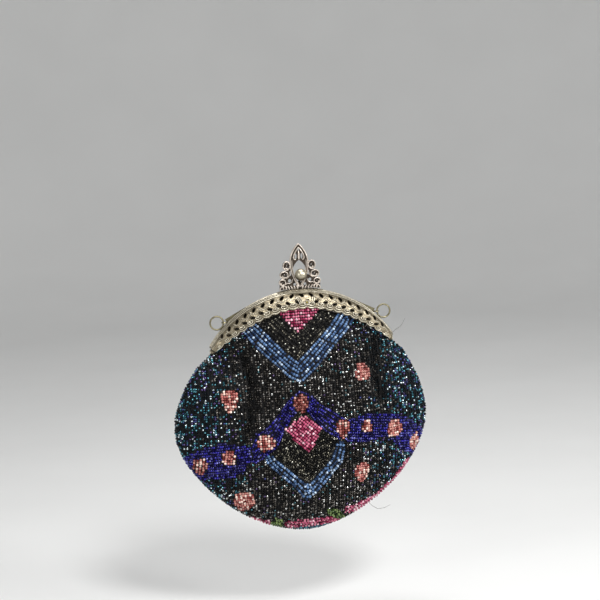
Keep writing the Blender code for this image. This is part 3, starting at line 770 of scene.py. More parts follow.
def seamReach(angle):
    cosine, sine = cos(angle), sin(angle)
    corner = bagForm["seamCornerHalf"] - (bellyShift if cosine >= 0.0 else -bellyShift)
    shoulder = bellyDrop - bagForm["seamCornerDrop"]
    if asin(sine) > atan2(shoulder, corner):
        return 2.0 * bagDrop
    power = bagForm["outlinePower"]
    rise = shoulder / (1.0 - (corner / bellyHalfWidth) ** power) ** (1 / power)
    height = rise if sine > 0.0 else bagDrop - bellyDrop
    reach = (abs(cosine / bellyHalfWidth) ** power + abs(sine / height) ** power) ** (-1.0 / power)
    for middle, width, size in bagForm["bulges"]:
        away = (angle - middle + pi) % tau - pi
        reach += size * exp(-(away / width) ** 2)
    return reach


def shoulderDrop(x):
    # beyond the hinge the bag's top edge slopes down to the side seam
    return bagForm["shoulderSlope"] * max(0.0, abs(x) - hingeHalf)


def archReach(angle):
    # where a ray from the belly meets the frame, by halving
    near, far = 0.0, 2.0 * bagDrop
    for _ in range(30):
        middle = (near + far) / 2
        x, z = fromBelly(angle, middle)
        limit = archRadius - (1.0 - bagForm["tuckShare"]) * bandDrop(atan2(x, z - archCentre))
        if hypot(x, z - archCentre) < limit or z < hingeSpot.z - shoulderDrop(x):
            near = middle
        else:
            far = middle
    return near


def bagRays():
    # for every direction from the belly: reach, depth at the edge, power of the swell and its tuck
    rays = []
    for step in range(bagForm["rays"]):
        angle = tau * step / bagForm["rays"]
        full = min(seamReach(angle), archReach(angle))
        edgeX, edgeZ = fromBelly(angle, full)
        hold = max(0.0, 1.0 - max(0.0, hingeSpot.z - edgeZ) / bagForm["hingeNotch"])
        under = bandDepth(atan2(edgeX, edgeZ - archCentre)) - archForm["wall"] - 2.0 * bagForm["layerGap"]
        edge = blendValues(archForm["halfGap"], under, smoothStep(hold))
        upward = smoothStep((sin(angle) - bagForm["swellFrom"]) / bagForm["swellOver"])
        power = blendValues(bagForm["sideSwell"], bagForm["topSwell"], upward)
        rays.append((full, edge, power, 1.0 - bagForm["rimTuck"] * hold))
    return rays


rayTable = bagRays()


def rayAt(angle):
    place = (angle % tau) / tau * len(rayTable)
    index = int(place)
    first, second = rayTable[index % len(rayTable)], rayTable[(index + 1) % len(rayTable)]
    return [blendValues(*pair, place - index) for pair in zip(first, second)]


def foldWave(z, middle, size, pace, start):
    return size * sin(z * pace + middle * start)


def foldDent(x, z):
    dent = 0.0
    for middle, width, depth, low, high in bagForm["folds"]:
        reach = smoothStep((z - low) / bagForm["foldEnd"]) * smoothStep((high - z) / bagForm["foldEnd"])
        winding = middle + foldWave(z, middle, *bagForm["winding"])
        spread = width * (1.0 + foldWave(z, middle, *bagForm["spread"]))
        dent += depth * reach * exp(-((x - winding) / spread) ** 2)
    return dent


def bagDepth(x, z, inset=0.0):
    # distance of the bag's side from its middle plane, or None outside the outline
    away = Vector((x - bellyShift, z + bellyDrop))
    full, edge, power, tuck = rayAt(atan2(away.y, away.x))
    share = away.length / (full - inset * bagForm["edgeInset"])
    if share > 1.0:
        return None
    edge -= min(inset, max(0.0, edge - bagForm["leastEdge"]))
    swell = max(0.0, 1.0 - (share / tuck) ** 2) ** power if share < tuck else 0.0
    return edge + (bellyHalf - inset - edge) * swell - foldDent(x, z) * smoothStep(swell * 2.5)


def clearHinge(x, z):
    # places beside a rivet move towards the belly, to the rim of its notch
    for end in (-1, 1):
        gap = Vector((x - end * hingeHalf, z - hingeSpot.z))
        if gap.length < bagForm["hingeNotch"]:
            pull = Vector((bellyShift - x, -bellyDrop - z)).normalized()
            along = -gap.dot(pull)
            inside = bagForm["hingeNotch"] ** 2 - gap.length_squared + along ** 2
            x, z = Vector((x, z)) + pull * (along + sqrt(max(0.0, inside)))
    return x, z


def makeSheet(name, side, inset, finish, foldShift, slotName, *replaced):
    # foldShift is how much lower than the beads the sheet would fold, or None for the back; only whether it
    # is None is used
    shares = [bagForm["sheetPitch"] * (ring + 1) for ring in range(bagForm["sheetRings"])]
    shares += bagForm["sheetRim"]
    sheet = bmesh.new()
    bmesh.ops.create_circle(sheet, cap_ends=True, cap_tris=True, segments=bagForm["sheetSides"],
                            radius=shares[0])
    for inner, outer in zip(shares, shares[1:]):
        growRim(sheet, outer / inner)
    for vert in sheet.verts:
        angle = atan2(vert.co.y, vert.co.x)
        full, edge = rayAt(angle)[:2]
        reach = (full - inset * bagForm["edgeInset"]) * min(1.0, vert.co.xy.length)
        x, z = clearHinge(*fromBelly(angle, reach))
        depth = bagDepth(x, z, inset)
        vert.co = Vector((x, side * (edge if depth is None else depth), z))
    mapFaces(sheet, lambda vert: (vert.co.x / bagForm["mapUnit"], vert.co.z / bagForm["mapUnit"]))
    piece = keepPiece(name, sheet, finish)
    solid = piece.modifiers.new("thickness", "SOLIDIFY")
    solid.thickness = bagForm["clothThickness"]
    solid.offset = 0.0
    piece = settle(piece)
    if foldShift is None:
        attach(piece, "bag")
    else:
        foldWith(piece)
    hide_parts(*replaced)


def makeSoftGoods():
    cloth = (bagForm["clothDepth"], "backingCloth")
    satin = (bagForm["liningDepth"], "satinCloth")
    makeSheet("front_cloth", -1, *cloth, foldForm["clothShift"], "black_beads",
              "front_panel", "front_panel_upper")
    makeSheet("back_cloth", 1, *cloth, None, "black_beads", "back_panel")
    makeSheet("front_satin", -1, *satin, foldForm["liningShift"], "dark_satin",
              "front_lining", "front_lining_upper")
    makeSheet("back_satin", 1, *satin, None, "dark_satin", "back_lining")


makeSoftGoods()
print("cloth and lining made")


# Binding tape inside the cove

tapeForm = {
    "reach": 0.93, "height": 0.0020, "tipHeight": 0.35, "hem": 0.0022, "thickness": 0.0016,
    "steps": 90, "mapSteps": 8.0, "mapCorners": 10.0,
    "stitches": 64, "stitchReach": 0.96, "stitchWire": 0.00016,
    "stitchSlant": 0.0006, "stitchLift": 0.00012, "stitchShares": (0.22, 0.40, 0.60, 0.78),
}


def tapeSection(angle):
    low = archRadius - (1.0 - bagForm["tuckShare"]) * bandDrop(angle) + 2.0 * bagForm["layerGap"]
    high = low + tapeForm["height"] * blendValues(tapeForm["tipHeight"], 1.0, bandTaper(angle))
    innerDrop = bandDrop(angle) - archForm["wall"]
    slack = archRadius - archForm["wall"] - high
    cove = sqrt(max(0.0, 1.0 - max(0.0, 1.0 - slack / innerDrop) ** 2))
    far = archForm["halfGap"] + (bandDepth(angle) - archForm["wall"]) * cove - 2.0 * bagForm["layerGap"]
    # the hem hangs over the sheet's edge, behind the lining
    return low - tapeForm["hem"], high, far - tapeForm["thickness"], far


def makeTape(side, body, word):
    strip = bmesh.new()
    corners = [strip.verts.new((0.0, 0.0, 0.0)) for _ in range(4)]
    face = strip.faces.new(corners)
    rows = [corners]
    for _ in range(tapeForm["steps"]):
        face = bmesh.ops.extrude_discrete_faces(strip, faces=[face])["faces"][0]
        rows.append(list(face.verts))
    place = {}
    for step, row in enumerate(rows):
        angle = (2.0 * step / tapeForm["steps"] - 1.0) * archEnd * tapeForm["reach"]
        low, high, near, far = tapeSection(angle)
        for corner, (radius, across) in enumerate(((low, far), (high, far), (high, near), (low, near))):
            row[corner].co = onArch(radius, angle, side * across)
            place[row[corner]] = (step / tapeForm["mapSteps"], corner / tapeForm["mapCorners"])
    mapFaces(strip, place.get)
    seat(keepPiece(word + "_tape", strip, "tapeCloth"), body, "cotton_tape", word + "_binding")


def makeStitches(side, body, word):
    # slanted stitches that hold the tape, on its inner face
    paths = []
    slant = tapeForm["stitchSlant"] / archRadius
    for stitch in range(tapeForm["stitches"]):
        place = 2.0 * (stitch + 0.5) / tapeForm["stitches"] - 1.0
        angle = place * archEnd * tapeForm["reach"] * tapeForm["stitchReach"]
        low, high, near = tapeSection(angle)[:3]
        paths.append(([onArch(blendValues(low, high, share), angle + slant * (share - 0.5),
                              side * (near - tapeForm["stitchLift"] * sin(pi * share)))
                       for share in tapeForm["stitchShares"]], 1.0))
    piece = wirePiece(word + "_stitches", paths, tapeForm["stitchWire"], "cottonThread", 0)
    seat(piece, body, "cotton_tape")


# two thread ends that have come adrift, at the frame's right tip and at the seam, in tenths of a millimetre
looseThreads = {
    "wire": 0.00014,
    "girths": [1.0, 1.0, 0.9, 0.8, 0.5],
    "tip": [(640, -22, -158), (668, -20, -136), (700, -16, -120), (724, -12, -94), (740, -10, -62)],
    "seam": [(425, -10, -1360), (448, -16, -1384), (485, -20, -1408), (536, -14, -1407), (581, -6, -1392)],
}

for half in halves:
    makeTape(*half)
for half in halves:
    makeStitches(*half)
looseEnds = [(inMetres(looseThreads[end]), looseThreads["girths"]) for end in ("tip", "seam")]
seat(wirePiece("loose_threads", looseEnds, looseThreads["wire"], "cottonThread"), "bag", "cotton_tape")
print("binding made")


# Beads

beadForm = {
    "girth": 0.00168, "length": 0.00146,
    "sides": 6,
    # outline of a bead along its thread hole and out from it, in shares of its half length and half girth
    "outline": ((-1.0, 0.32), (-0.80, 0.70), (-0.34, 0.98), (0.34, 0.98), (0.80, 0.70), (1.0, 0.32)),
    "rowPitch": 0.00188, "threadPitch": 0.00152,
    "crowding": 0.00134, "fillCrowding": 0.00145,
    "sink": 0.00035,
    "jitter": 0.00016, "wobble": 0.16,
    "hingeMargin": 0.0004, "shoulderMargin": 0.0006,
    "probe": 0.0003, "tangentProbe": 0.0004,
    "perPiece": 2700,
    "seed": 11,
    # spread of the beads' girth, length, light and lustre
    "girthRange": (0.90, 1.08), "lengthRange": (0.9, 1.08),
    "lightRange": (0.72, 1.28), "lustreRange": (0.8, 1.0),
    # shares of the half width where the side's mix begins and over which it takes over
    "sideFrom": 0.35, "sideOver": 0.5,
    # painted shade in a fold's valley: how far the pick moves towards the first, duller shades of a kind, and
    # how much light is taken off the colour
    "valleyShadePick": 0.50, "valleyShadeLight": 0.38,
    # lumps of a round dot: size, count and start; lean of its strings and margin of the outer ones
    "lumps": (0.16, 3.0, 900.0), "dotLean": 0.25, "dotMargin": 0.35,
    "bandFill": 0.80,
    # rows along the seam lie further apart from one to the next, between two directions in degrees
    "seamRows": 4, "seamGap": 0.0006, "seamPitch": 0.35, "seamWidening": 0.25,
    "seamStart": 205, "seamArc": 130, "seamSteps": 240,
    "columnTop": 0.012, "columnWave": 0.0004, "columnPace": 900.0,
    "fillStep": 0.00062, "fillStart": 0.02, "fillSpread": 0.6, "fillLean": 0.6,
    # first dark row between the diamond and the lower stripe, and how the others follow it
    "darkRow": ((-0.0280, -0.0700), (0.0080, -0.1060)), "darkRows": 14, "darkPitch": 0.7,
}
# how large the beads of a kind are beside the ground's
beadSizes = {"sky": 1.24, "pink": 1.14, "coral": 1.14, "rust": 1.10, "cobalt": 1.04, "leaf": 1.05,
             "teal": 1.05}

# colours are linear; each kind is a list of shades with how often each comes and its lustre
# the palest shade of each kind (none in leaf and teal) is partly painted highlight, standing in for glints on
# the beads; in the coloured kinds the dark shade with lustre 0 is painted shade between the rows
beadShades = {
    "ground": [((0.005, 0.005, 0.005), 9, 0.0), ((0.045, 0.04, 0.034), 6, 0.75),
               ((0.16, 0.15, 0.14), 3.6, 0.9), ((0.52, 0.53, 0.52), 1.7, 1.0),
               ((0.05, 0.12, 0.14), 1.1, 0.85), ((0.09, 0.06, 0.14), 0.6, 0.85)],
    "side": [((0.004, 0.006, 0.008), 9, 0.0), ((0.02, 0.09, 0.12), 2.6, 0.85),
             ((0.1, 0.3, 0.36), 1.7, 0.95), ((0.08, 0.05, 0.16), 1.1, 0.85),
             ((0.04, 0.05, 0.17), 1.3, 0.85), ((0.55, 0.64, 0.68), 1.6, 1.0)],
    "sky": [((0.055, 0.115, 0.24), 6, 0.05), ((0.105, 0.19, 0.35), 5, 0.05), ((0.016, 0.032, 0.075), 5, 0.0),
            ((0.38, 0.48, 0.62), 3.0, 0.3)],
    "cobalt": [((0.007, 0.005, 0.125), 6, 0.1), ((0.014, 0.01, 0.25), 4, 0.15),
               ((0.003, 0.002, 0.035), 5, 0.0), ((0.14, 0.14, 0.46), 1.3, 0.5)],
    "pink": [((0.43, 0.07, 0.15), 6, 0.05), ((0.6, 0.18, 0.27), 4, 0.05), ((0.19, 0.016, 0.05), 4, 0.0),
             ((0.82, 0.5, 0.58), 1.8, 0.1)],
    "coral": [((0.4, 0.125, 0.11), 5, 0.05), ((0.57, 0.26, 0.215), 4, 0.05), ((0.16, 0.032, 0.028), 4, 0.0),
              ((0.82, 0.62, 0.54), 2.3, 0.1)],
    "rust": [((0.22, 0.06, 0.05), 5, 0.05), ((0.36, 0.13, 0.105), 3, 0.05), ((0.08, 0.016, 0.013), 4, 0.0),
             ((0.55, 0.34, 0.3), 1.0, 0.1)],
    "leaf": [((0.07, 0.125, 0.025), 5, 0.05), ((0.18, 0.26, 0.075), 3, 0.05), ((0.02, 0.04, 0.01), 4, 0.0)],
    "teal": [((0.01, 0.09, 0.13), 4, 0.3), ((0.05, 0.22, 0.28), 2, 0.5), ((0.015, 0.035, 0.08), 3, 0.0)],
    "dark": [((0.004, 0.004, 0.004), 8, 0.0), ((0.034, 0.031, 0.024), 6, 0.7), ((0.15, 0.14, 0.11), 3.2, 0.9),
             ((0.42, 0.41, 0.36), 0.9, 1.0)],
}


# The pattern: places on the bag's front as seen square on, across and up, in tenths of a millimetre

motifs = {name: inMetres(points) for name, points in {
    "upperOuter": [(-439, 22), (-434, -52), (-363, -162), (-259, -267), (-139, -389), (-68, -424), (53, -329),
                   (201, -188), (337, -76), (391, -10), (440, 32)],
    "upperInner": [(-369, 59), (-334, -2), (-285, -53), (-226, -126), (-149, -211), (-79, -272), (0, -200),
                   (84, -134), (164, -65), (241, 13), (274, 68)],
    "triangle": [(-300, 150), (-240, 105), (-203, 70), (-137, 5), (-95, -42), (-52, -87), (-10, -55),
                 (33, -20), (118, 51), (160, 90), (200, 130)],
    "diamond": [(-67, -635), (59, -730), (14, -813), (-25, -901), (-123, -828), (-201, -721)],
    "lowerOuter": [(-347, -918), (-331, -963), (-244, -1056), (-135, -1161), (-74, -1251), (-22, -1244),
                   (55, -1166), (134, -1069), (203, -998), (224, -890), (205, -845)],
    "lowerInner": [(-289, -893), (-269, -927), (-202, -986), (-128, -1057), (-72, -1107), (-35, -1116),
                   (12, -1063), (69, -1007), (113, -953), (143, -881), (158, -847)],
    "cobaltUpper": [(-429, -834), (-393, -742), (-301, -681), (-230, -607), (-159, -520), (-83, -463),
                    (-10, -492), (44, -560), (126, -609), (242, -695), (271, -711)],
    "cobaltLower": [(-400, -953), (-347, -929), (-254, -852), (-212, -747), (-154, -659), (-102, -606),
                    (-46, -604), (10, -686), (82, -772), (160, -819), (230, -845)],
    "leftLobe": [(-882, -923), (-828, -875), (-725, -822), (-611, -798), (-498, -825), (-415, -832),
                 (-394, -890), (-395, -952), (-448, -945), (-490, -1013), (-553, -1049), (-689, -1058),
                 (-783, -1086), (-860, -1025)],
    "rightLobe": [(228, -707), (277, -692), (376, -668), (519, -679), (667, -721), (752, -792), (860, -889),
                  (850, -978), (760, -1034), (637, -967), (566, -875), (470, -845), (383, -874), (284, -862),
                  (216, -842)],
}.items()}
# kind of the round dots, then middle across and up, half width and half height
dots = [(kind, *spot) for kind, spots in (
    ("coral", [(-557, -508, 54, 76), (377, -385, 53, 63)]),
    ("rust", [(-80, -554, 50, 59)]),
    ("coral", [(-331, -810, 61, 57), (205, -755, 46, 66), (379, -759, 36, 48), (590, -802, 56, 64),
               (752, -928, 38, 62), (-770, -967, 46, 59), (-583, -904, 44, 58), (-481, -1233, 66, 77),
               (340, -1085, 52, 70)]),
) for spot in inMetres(spots)]
# outlines by kind, the first one that holds a place wins; the pieces along the bottom seam come first
regions = [(kind, inMetres(points)) for kind, points in (
    ("pink", [(700, -1040), (588, -1182), (485, -1262), (354, -1315), (210, -1345), (232, -1393),
              (361, -1420), (490, -1380), (620, -1300), (720, -1190), (790, -1060)]),
    ("leaf", [(77, -1354), (135, -1335), (197, -1366), (265, -1460), (182, -1435), (116, -1390)]),
    ("pink", [(-210, -1411), (-98, -1403), (30, -1396), (140, -1392), (200, -1445), (177, -1470), (38, -1465),
              (-89, -1470), (-184, -1474)]),
    ("teal", [(-110, -1470), (38, -1465), (177, -1470), (160, -1520), (-110, -1520)]),
    ("leaf", [(-294, -1411), (-257, -1379), (-209, -1386), (-204, -1470), (-270, -1470)]),
    ("pink", [(-460, -1360), (-383, -1375), (-295, -1401), (-286, -1470), (-374, -1440), (-470, -1400)]),
)] + [
    ("pink", motifs["triangle"]),
    ("pink", motifs["diamond"]),
    ("sky", motifs["upperOuter"] + motifs["upperInner"][::-1]),
    ("sky", motifs["lowerOuter"] + motifs["lowerInner"][::-1]),
    ("cobalt", motifs["cobaltUpper"] + motifs["cobaltLower"][::-1]),
    ("cobalt", motifs["leftLobe"]),
    ("cobalt", motifs["rightLobe"]),
    ("dark", motifs["upperInner"] + motifs["triangle"][::-1]),
    ("dark", motifs["cobaltLower"] + motifs["lowerInner"][::-1]),
]


def insidePolygon(x, z, corners):
    inside = False
    for index, (firstX, firstZ) in enumerate(corners):
        nextX, nextZ = corners[(index + 1) % len(corners)]
        if (firstZ > z) != (nextZ > z) and x < (nextX - firstX) * (z - firstZ) / (nextZ - firstZ) + firstX:
            inside = not inside
    return inside


def kindAt(x, z):
    lump, lumps, start = beadForm["lumps"]
    for kind, middleX, middleZ, halfX, halfZ in dots:
        across, up = (x - middleX) / halfX, (z - middleZ) / halfZ
        if across * across + up * up < 1.0 + lump * sin(lumps * atan2(up, across) + start * middleX):
            return kind
    return next((kind for kind, corners in regions if insidePolygon(x, z, corners)), "ground")


beadCells = {}
beadSpots = []
beadRandom = random.Random(beadForm["seed"])


def roomFor(place, crowding):
    home = [floor(value / beadForm["rowPitch"]) for value in place]
    for cell in product(*((value - 1, value, value + 1) for value in home)):
        for other in beadCells.get(cell, ()):
            if (other - place).length_squared < crowding ** 2:
                return False
    beadCells.setdefault(tuple(home), []).append(place)
    return True


def surfaceSpot(x, z):
    depth = bagDepth(x, z, beadForm["sink"])
    return None if depth is None else Vector((x, -depth, z))


def stretchAt(x, z, heading):
    # length along the bag's side beside length in the front view
    probe = beadForm["probe"]
    here = bagDepth(x, z, beadForm["sink"])
    there = bagDepth(x + heading[0] * probe, z + heading[1] * probe, beadForm["sink"])
    slope = 0.0 if here is None or there is None else (there - here) / probe
    return sqrt(1.0 + slope * slope)


def layBead(x, z, heading, kind, crowding):
    # heading is the thread's direction on the front view
    for end in (-1, 1):
        if hypot(x - end * hingeHalf, z - hingeSpot.z) < bagForm["hingeNotch"] + beadForm["hingeMargin"]:
            return
    if abs(x) > hingeHalf and z > hingeSpot.z - shoulderDrop(x) - beadForm["shoulderMargin"]:
        return
    spot = surfaceSpot(x, z)
    if spot is None or not roomFor(spot, crowding * beadSizes.get(kind, 1.0)):
        return
    reach = beadForm["tangentProbe"]
    rightSpot = surfaceSpot(x + reach, z) or surfaceSpot(x - reach, z)
    upSpot = surfaceSpot(x, z + reach) or surfaceSpot(x, z - reach)
    if rightSpot is None or upSpot is None:
        return
    across = (rightSpot - spot) * (1 if rightSpot.x > spot.x else -1)
    upward = (upSpot - spot) * (1 if upSpot.z > spot.z else -1)
    outward = across.cross(upward).normalized()
    thread = (across * heading[0] + upward * heading[1]).normalized()
    thread = (thread - outward * thread.dot(outward)).normalized()
    beadSpots.append((spot, thread, outward, kind))


def walkLine(points, kindWanted):
    # string beads along a line of front-view points at an even spacing on the surface
    for (startX, startZ), (endX, endZ) in zip(points, points[1:]):
        length = hypot(endX - startX, endZ - startZ)
        if length < 1e-6:
            continue
        heading = ((endX - startX) / length, (endZ - startZ) / length)
        travelled = 0.0
        while travelled <= length:
            x, z = startX + heading[0] * travelled, startZ + heading[1] * travelled
            kind = kindAt(x, z)
            if kindWanted in (kind, None):
                layBead(x, z, heading, kind, beadForm["crowding"])
            travelled += beadForm["threadPitch"] * beadSizes.get(kindWanted, 1.0) / stretchAt(x, z, heading)


def layBand(inner, outer, kind):
    widths = [hypot(a[0] - b[0], a[1] - b[1]) for a, b in zip(inner, outer)]
    width = sum(widths) / len(widths) * beadForm["bandFill"]
    rows = max(2, round(width / (beadForm["rowPitch"] * beadSizes.get(kind, 1.0))))
    for row in range(rows):
        share = (row + 0.5) / rows
        walkLine([(blendValues(a[0], b[0], share), blendValues(a[1], b[1], share))
                  for a, b in zip(inner, outer)], kind)


def layDot(kind, middleX, middleZ, halfX, halfZ):
    # uneven clumps of short strings, a little askew
    lean = beadRandom.uniform(-beadForm["dotLean"], beadForm["dotLean"])
    columns = max(1, round(halfX / beadForm["rowPitch"]))
    for column in range(-columns, columns + 1):
        x = middleX + column * halfX / (columns + beadForm["dotMargin"])
        walkLine([(x - lean * halfZ, middleZ - halfZ), (x + lean * halfZ, middleZ + halfZ)], kind)


def layPatch(corners, kind, heading):
    # straight rows along one heading across a patch
    middleX, middleZ = (sum(values) / len(corners) for values in zip(*corners))
    reach = max(hypot(x - middleX, z - middleZ) for x, z in corners)
    along = Vector(heading).normalized()
    aside = Vector((-along.y, along.x))
    rows = int(reach / beadForm["rowPitch"]) + 1
    for row in range(-rows, rows + 1):
        middle = Vector((middleX, middleZ)) + aside * row * beadForm["rowPitch"]
        walkLine([tuple(middle - along * reach), tuple(middle + along * reach)], kind)


def laySeamRows():
    # rows that follow the outline just inside the seam
    steps = beadForm["seamSteps"]
    angles = [radians(beadForm["seamStart"] + beadForm["seamArc"] * step / steps)
              for step in range(steps + 1)]
    for row in range(beadForm["seamRows"]):
        spread = beadForm["seamPitch"] + beadForm["seamWidening"] * row
        gap = beadForm["seamGap"] + row * beadForm["rowPitch"] * spread
        walkLine([fromBelly(angle, rayAt(angle)[0] - gap) for angle in angles], None)


def layColumns():
    # vertical columns of ground beads, closer together in the front view where the side turns away
    top, bottom = beadForm["columnTop"], -bagDrop
    wave, pace = beadForm["columnWave"], beadForm["columnPace"]
    for direction in (-1, 1):
        x = bellyShift + (0.0 if direction > 0 else -beadForm["rowPitch"])
        while bellyShift - bellyHalfWidth < x < bellyShift + bellyHalfWidth:
            walkLine([(x + wave * sin(x * pace + part), top + (bottom - top) * part / 12)
                      for part in range(13)], "ground")
            x += direction * beadForm["rowPitch"] / stretchAt(x, -bellyDrop, (1.0, 0.0))


def fillGaps():
    # single beads wherever the lines have left room, from the belly outwards
    step, share = beadForm["fillStep"], beadForm["fillStart"]
    while share < 1.0:
        count = int(tau * (rayAt(0.0)[0] * share) / step) + 1
        for index in range(count):
            angle = tau * (index + beadRandom.random() * beadForm["fillSpread"]) / count
            x, z = fromBelly(angle, rayAt(angle)[0] * share)
            if bagDepth(x, z, beadForm["sink"]) is None:
                continue
            heading = (beadRandom.uniform(-beadForm["fillLean"], beadForm["fillLean"]), 1.0)
            layBead(x, z, heading, kindAt(x, z), beadForm["fillCrowding"])
        slope = bellyHalf / bellyHalfWidth * share / max(0.03, 1.0 - share * share) ** 0.5
        share += step / bellyHalfWidth / sqrt(1.0 + slope * slope)


def layAllBeads():
    for dot in dots:
        layDot(*dot)
    layPatch(motifs["triangle"], "pink", (1.0, 0.0))
    layPatch(motifs["diamond"], "pink", (1.0, -0.9))
    laySeamRows()
    layBand(motifs["upperInner"], motifs["upperOuter"], "sky")
    layBand(motifs["lowerInner"], motifs["lowerOuter"], "sky")
    layBand(motifs["cobaltUpper"], motifs["cobaltLower"], "cobalt")
    layPatch(motifs["leftLobe"], "cobalt", (1.0, 0.1))
    layPatch(motifs["rightLobe"], "cobalt", (1.0, -0.15))
    layBand(motifs["triangle"], motifs["upperInner"], "dark")
    for row in range(beadForm["darkRows"]):
        shift = row * beadForm["rowPitch"] * beadForm["darkPitch"]
        walkLine([(x + shift, z - shift) for x, z in beadForm["darkRow"]], "dark")
    layColumns()
    fillGaps()


layAllBeads()
print("bead places:", len(beadSpots))


def beadShape():
    # a short round bead, cut in flat facets, its thread hole along X
    shape = bmesh.new()
    verts = [shape.verts.new((beadForm["length"] / 2 * along, 0.0, beadForm["girth"] / 2 * out))
             for along, out in beadForm["outline"]]
    edges = [shape.edges.new(pair) for pair in zip(verts, verts[1:])]
    bmesh.ops.spin(shape, geom=verts + edges, axis=(1.0, 0.0, 0.0), angle=tau, steps=beadForm["sides"],
                   use_merge=True)
    bmesh.ops.remove_doubles(shape, verts=shape.verts[:], dist=0.00001)
    bmesh.ops.holes_fill(shape, edges=shape.edges[:], sides=0)
    return keepPiece("cutBead", shape, "cutGlass")


def makeStringing(template):
    # geometry nodes: one bead at every point, turned and sized by the point's own values
    tree = bpy.data.node_groups.new("stringing", "GeometryNodeTree")
    for way in ("INPUT", "OUTPUT"):
        tree.interface.new_socket("Geometry", in_out=way, socket_type="NodeSocketGeometry")
    given, made, scatter, source, turn, size, euler, realise = [tree.nodes.new(kind) for kind in (
        "NodeGroupInput", "NodeGroupOutput", "GeometryNodeInstanceOnPoints", "GeometryNodeObjectInfo",
        "GeometryNodeInputNamedAttribute", "GeometryNodeInputNamedAttribute", "FunctionNodeEulerToRotation",
        "GeometryNodeRealizeInstances")]
    source.inputs["Object"].default_value = template
    for node, label in ((turn, "turn"), (size, "size")):
        node.data_type = "FLOAT_VECTOR"
        node.inputs["Name"].default_value = label
    join(tree,
         (given, "Geometry", scatter, "Points"), (source, "Geometry", scatter, "Instance"),
         (turn, "Attribute", euler, "Euler"), (euler, "Rotation", scatter, "Rotation"),
         (size, "Attribute", scatter, "Scale"), (scatter, "Instances", realise, "Geometry"),
         (realise, "Geometry", made, "Geometry"))
    return tree


def shadeFor(kind, x, z):
    # towards the sides more beads are of the blue mix, and in a fold's valley the colour gets painted shade:
    # duller shades are picked and the colour is darkened
    if kind == "ground":
        sideways = abs(x - bellyShift) / bellyHalfWidth
        if beadRandom.random() < smoothStep((sideways - beadForm["sideFrom"]) / beadForm["sideOver"]):
            kind = "side"
    valley = min(1.0, foldDent(x, z) / bagForm["deepestFold"])
    total = sum(weight for _, weight, _ in beadShades[kind])
    pick = beadRandom.random() * total * (1.0 - beadForm["valleyShadePick"] * valley)
    for colour, weight, lustre in beadShades[kind]:
        pick -= weight
        if pick <= 0.0:
            break
    light = beadRandom.uniform(*beadForm["lightRange"]) * (1.0 - beadForm["valleyShadeLight"] * valley)
    lustre *= beadRandom.uniform(*beadForm["lustreRange"])
    return [channel * light for channel in colour] + [1.0], lustre


def stringBeads(name, spots, tree):
    mesh = bpy.data.meshes.new(name)
    turns, sizes, colours, lustres, places = [], [], [], [], []
    for spot, thread, outward, kind in spots:
        wobble = Euler([beadRandom.gauss(0.0, beadForm["wobble"]) for _ in range(3)]).to_matrix()
        turns.extend((Matrix((thread, outward.cross(thread), outward)).transposed() @ wobble).to_euler())
        stretch = beadRandom.uniform(*beadForm["girthRange"]) * beadSizes.get(kind, 1.0)
        sizes.extend((stretch * beadRandom.uniform(*beadForm["lengthRange"]), stretch, stretch))
        colour, lustre = shadeFor(kind, spot.x, spot.z)
        colours.extend(colour)
        lustres.append(lustre)
        places.append(spot + Vector([beadRandom.uniform(-1.0, 1.0) * beadForm["jitter"] for _ in range(3)]))
    mesh.from_pydata(places, [], [])
    for label, kind, field, values in (
            ("turn", "FLOAT_VECTOR", "vector", turns), ("size", "FLOAT_VECTOR", "vector", sizes),
            ("beadColour", "FLOAT_COLOR", "color", colours), ("lustre", "FLOAT", "value", lustres)):
        mesh.attributes.new(label, kind, "POINT").data.foreach_set(field, values)
    piece = addObject(name, mesh)
    piece.modifiers.new("stringing", "NODES").node_group = tree
    piece = settle(piece)
    for spare in ("turn", "size"):
        piece.data.attributes.remove(piece.data.attributes[spare])
    dress(piece, "cutGlass")
    return piece


def makeBeads():
    template = beadShape()
    tree = makeStringing(template)
    beadSpots.sort(key=lambda bead: -bead[0].z)
    count = ceil(len(beadSpots) / beadForm["perPiece"])
    size = ceil(len(beadSpots) / count)
    flip = Vector((1.0, -1.0, 1.0))
    for index in range(count):
        front = beadSpots[index * size:(index + 1) * size]
        foldWith(stringBeads("front_beads_%d" % (index + 1), front, tree))
        back = [(spot * flip, thread * flip, outward * flip, kind) for spot, thread, outward, kind in front]
        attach(stringBeads("back_beads_%d" % (index + 1), back, tree), "bag")
    bpy.data.objects.remove(template, do_unlink=True)


makeBeads()
print("beads strung")


# Stage, light and camera

stageForm = {"floor": -0.215, "flat": 1.45, "bend": 0.75, "wall": 2.4, "bendSteps": 14, "around": 72,
             "low": (0.78, 0.78, 0.77, 1.0), "high": (0.84, 0.84, 0.83, 1.0)}


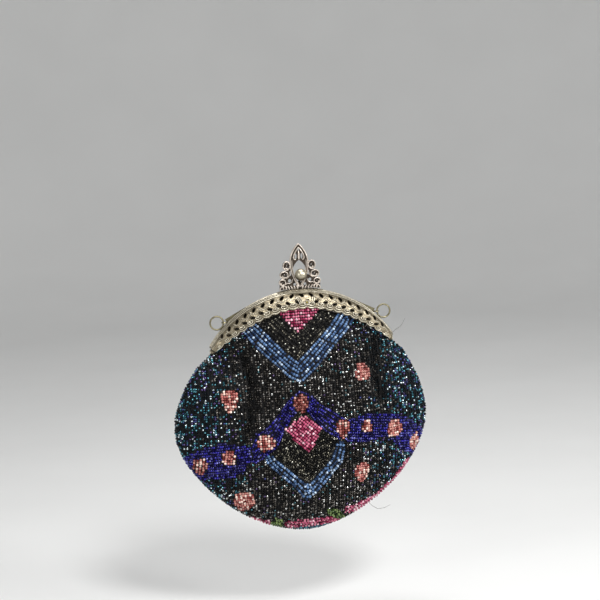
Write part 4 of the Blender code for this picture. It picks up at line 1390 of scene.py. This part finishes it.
def makeStage():
    # a round pale sweep, so that every side of the bag has a backdrop
    flat, bend = stageForm["flat"], stageForm["bend"]
    profile = [(flat, 0.0)]
    for step in range(1, stageForm["bendSteps"] + 1):
        turn = pi / 2 * step / stageForm["bendSteps"]
        profile.append((flat + bend * sin(turn), bend * (1.0 - cos(turn))))
    profile.append((flat + bend, stageForm["wall"]))
    sweep = bmesh.new()
    bmesh.ops.create_circle(sweep, cap_ends=True, cap_tris=True, segments=stageForm["around"], radius=flat,
                            matrix=Matrix.Translation((0.0, 0.0, stageForm["floor"])))
    for (radius, height), (nextRadius, nextHeight) in zip(profile, profile[1:]):
        growRim(sweep, nextRadius / radius, nextHeight - height)
    tree, shader = newFinish("paleSweep", {"Roughness": 0.9})
    grain = addNoise(tree, {"Scale": 7.0})
    tint = addNode(tree, "Mix", {"A": stageForm["low"], "B": stageForm["high"]}, data_type="RGBA")
    join(tree, (grain, "Fac", tint, "Factor"), (tint, "Result", shader, "Base Color"))
    keepPiece("pale_sweep", sweep, "paleSweep")


# place, size and power of each lamp
lampForm = {
    "key": ((0.20, -0.90, 0.80), 0.28, 10.5),
    "left": ((-0.85, -0.65, 0.25), 0.25, 2.2),
    "right": ((0.85, -0.65, 0.40), 0.25, 4.5),
    "top": ((0.05, 0.10, 0.95), 0.50, 4.5),
}
lampAim = Vector((0.0, 0.0, -0.05))
worldForm = {"Color": (0.80, 0.81, 0.83, 1.0), "Strength": 0.38}


def makeLight():
    world = bpy.data.worlds.new("studio")
    world.use_nodes = True
    for label, value in worldForm.items():
        world.node_tree.nodes["Background"].inputs[label].default_value = value
    bpy.context.scene.world = world
    for name, (place, size, power) in lampForm.items():
        lamp = bpy.data.lights.new(name, "AREA")
        lamp.size = size
        lamp.energy = power
        holder = addObject(name, lamp)
        holder.location = place
        holder.rotation_euler = (lampAim - holder.location).to_track_quat("-Z", "Y").to_euler()


cameraForm = {
    "yaw": radians(-11.06), "elevation": radians(7.81), "roll": radians(-2.70),
    "distance": 1.2,
    "aim": (0.0, 0.0, 0.0118),
    "focalPixels": 1734.2, "imagePixels": 600.0,
    "sensor": 36.0,
}


def makeCamera():
    yaw, elevation, roll = cameraForm["yaw"], cameraForm["elevation"], cameraForm["roll"]
    back = Vector((sin(yaw) * cos(elevation), -cos(yaw) * cos(elevation), sin(elevation)))
    level = Vector((cos(yaw), sin(yaw), 0.0))
    upright = back.cross(level)
    right = level * cos(roll) + upright * sin(roll)
    up = upright * cos(roll) - level * sin(roll)
    camera = addObject("camera", bpy.data.cameras.new("camera"))
    camera.data.sensor_width = cameraForm["sensor"]
    camera.data.lens = cameraForm["focalPixels"] / cameraForm["imagePixels"] * cameraForm["sensor"]
    turned = Matrix((right, up, back)).transposed().to_4x4()
    place = Vector(cameraForm["aim"]) + back * cameraForm["distance"]
    camera.matrix_world = Matrix.Translation(place) @ turned
    bpy.context.scene.camera = camera


makeStage()
makeLight()
makeCamera()
bpy.context.scene.view_settings.view_transform = "Standard"
print("stage set")
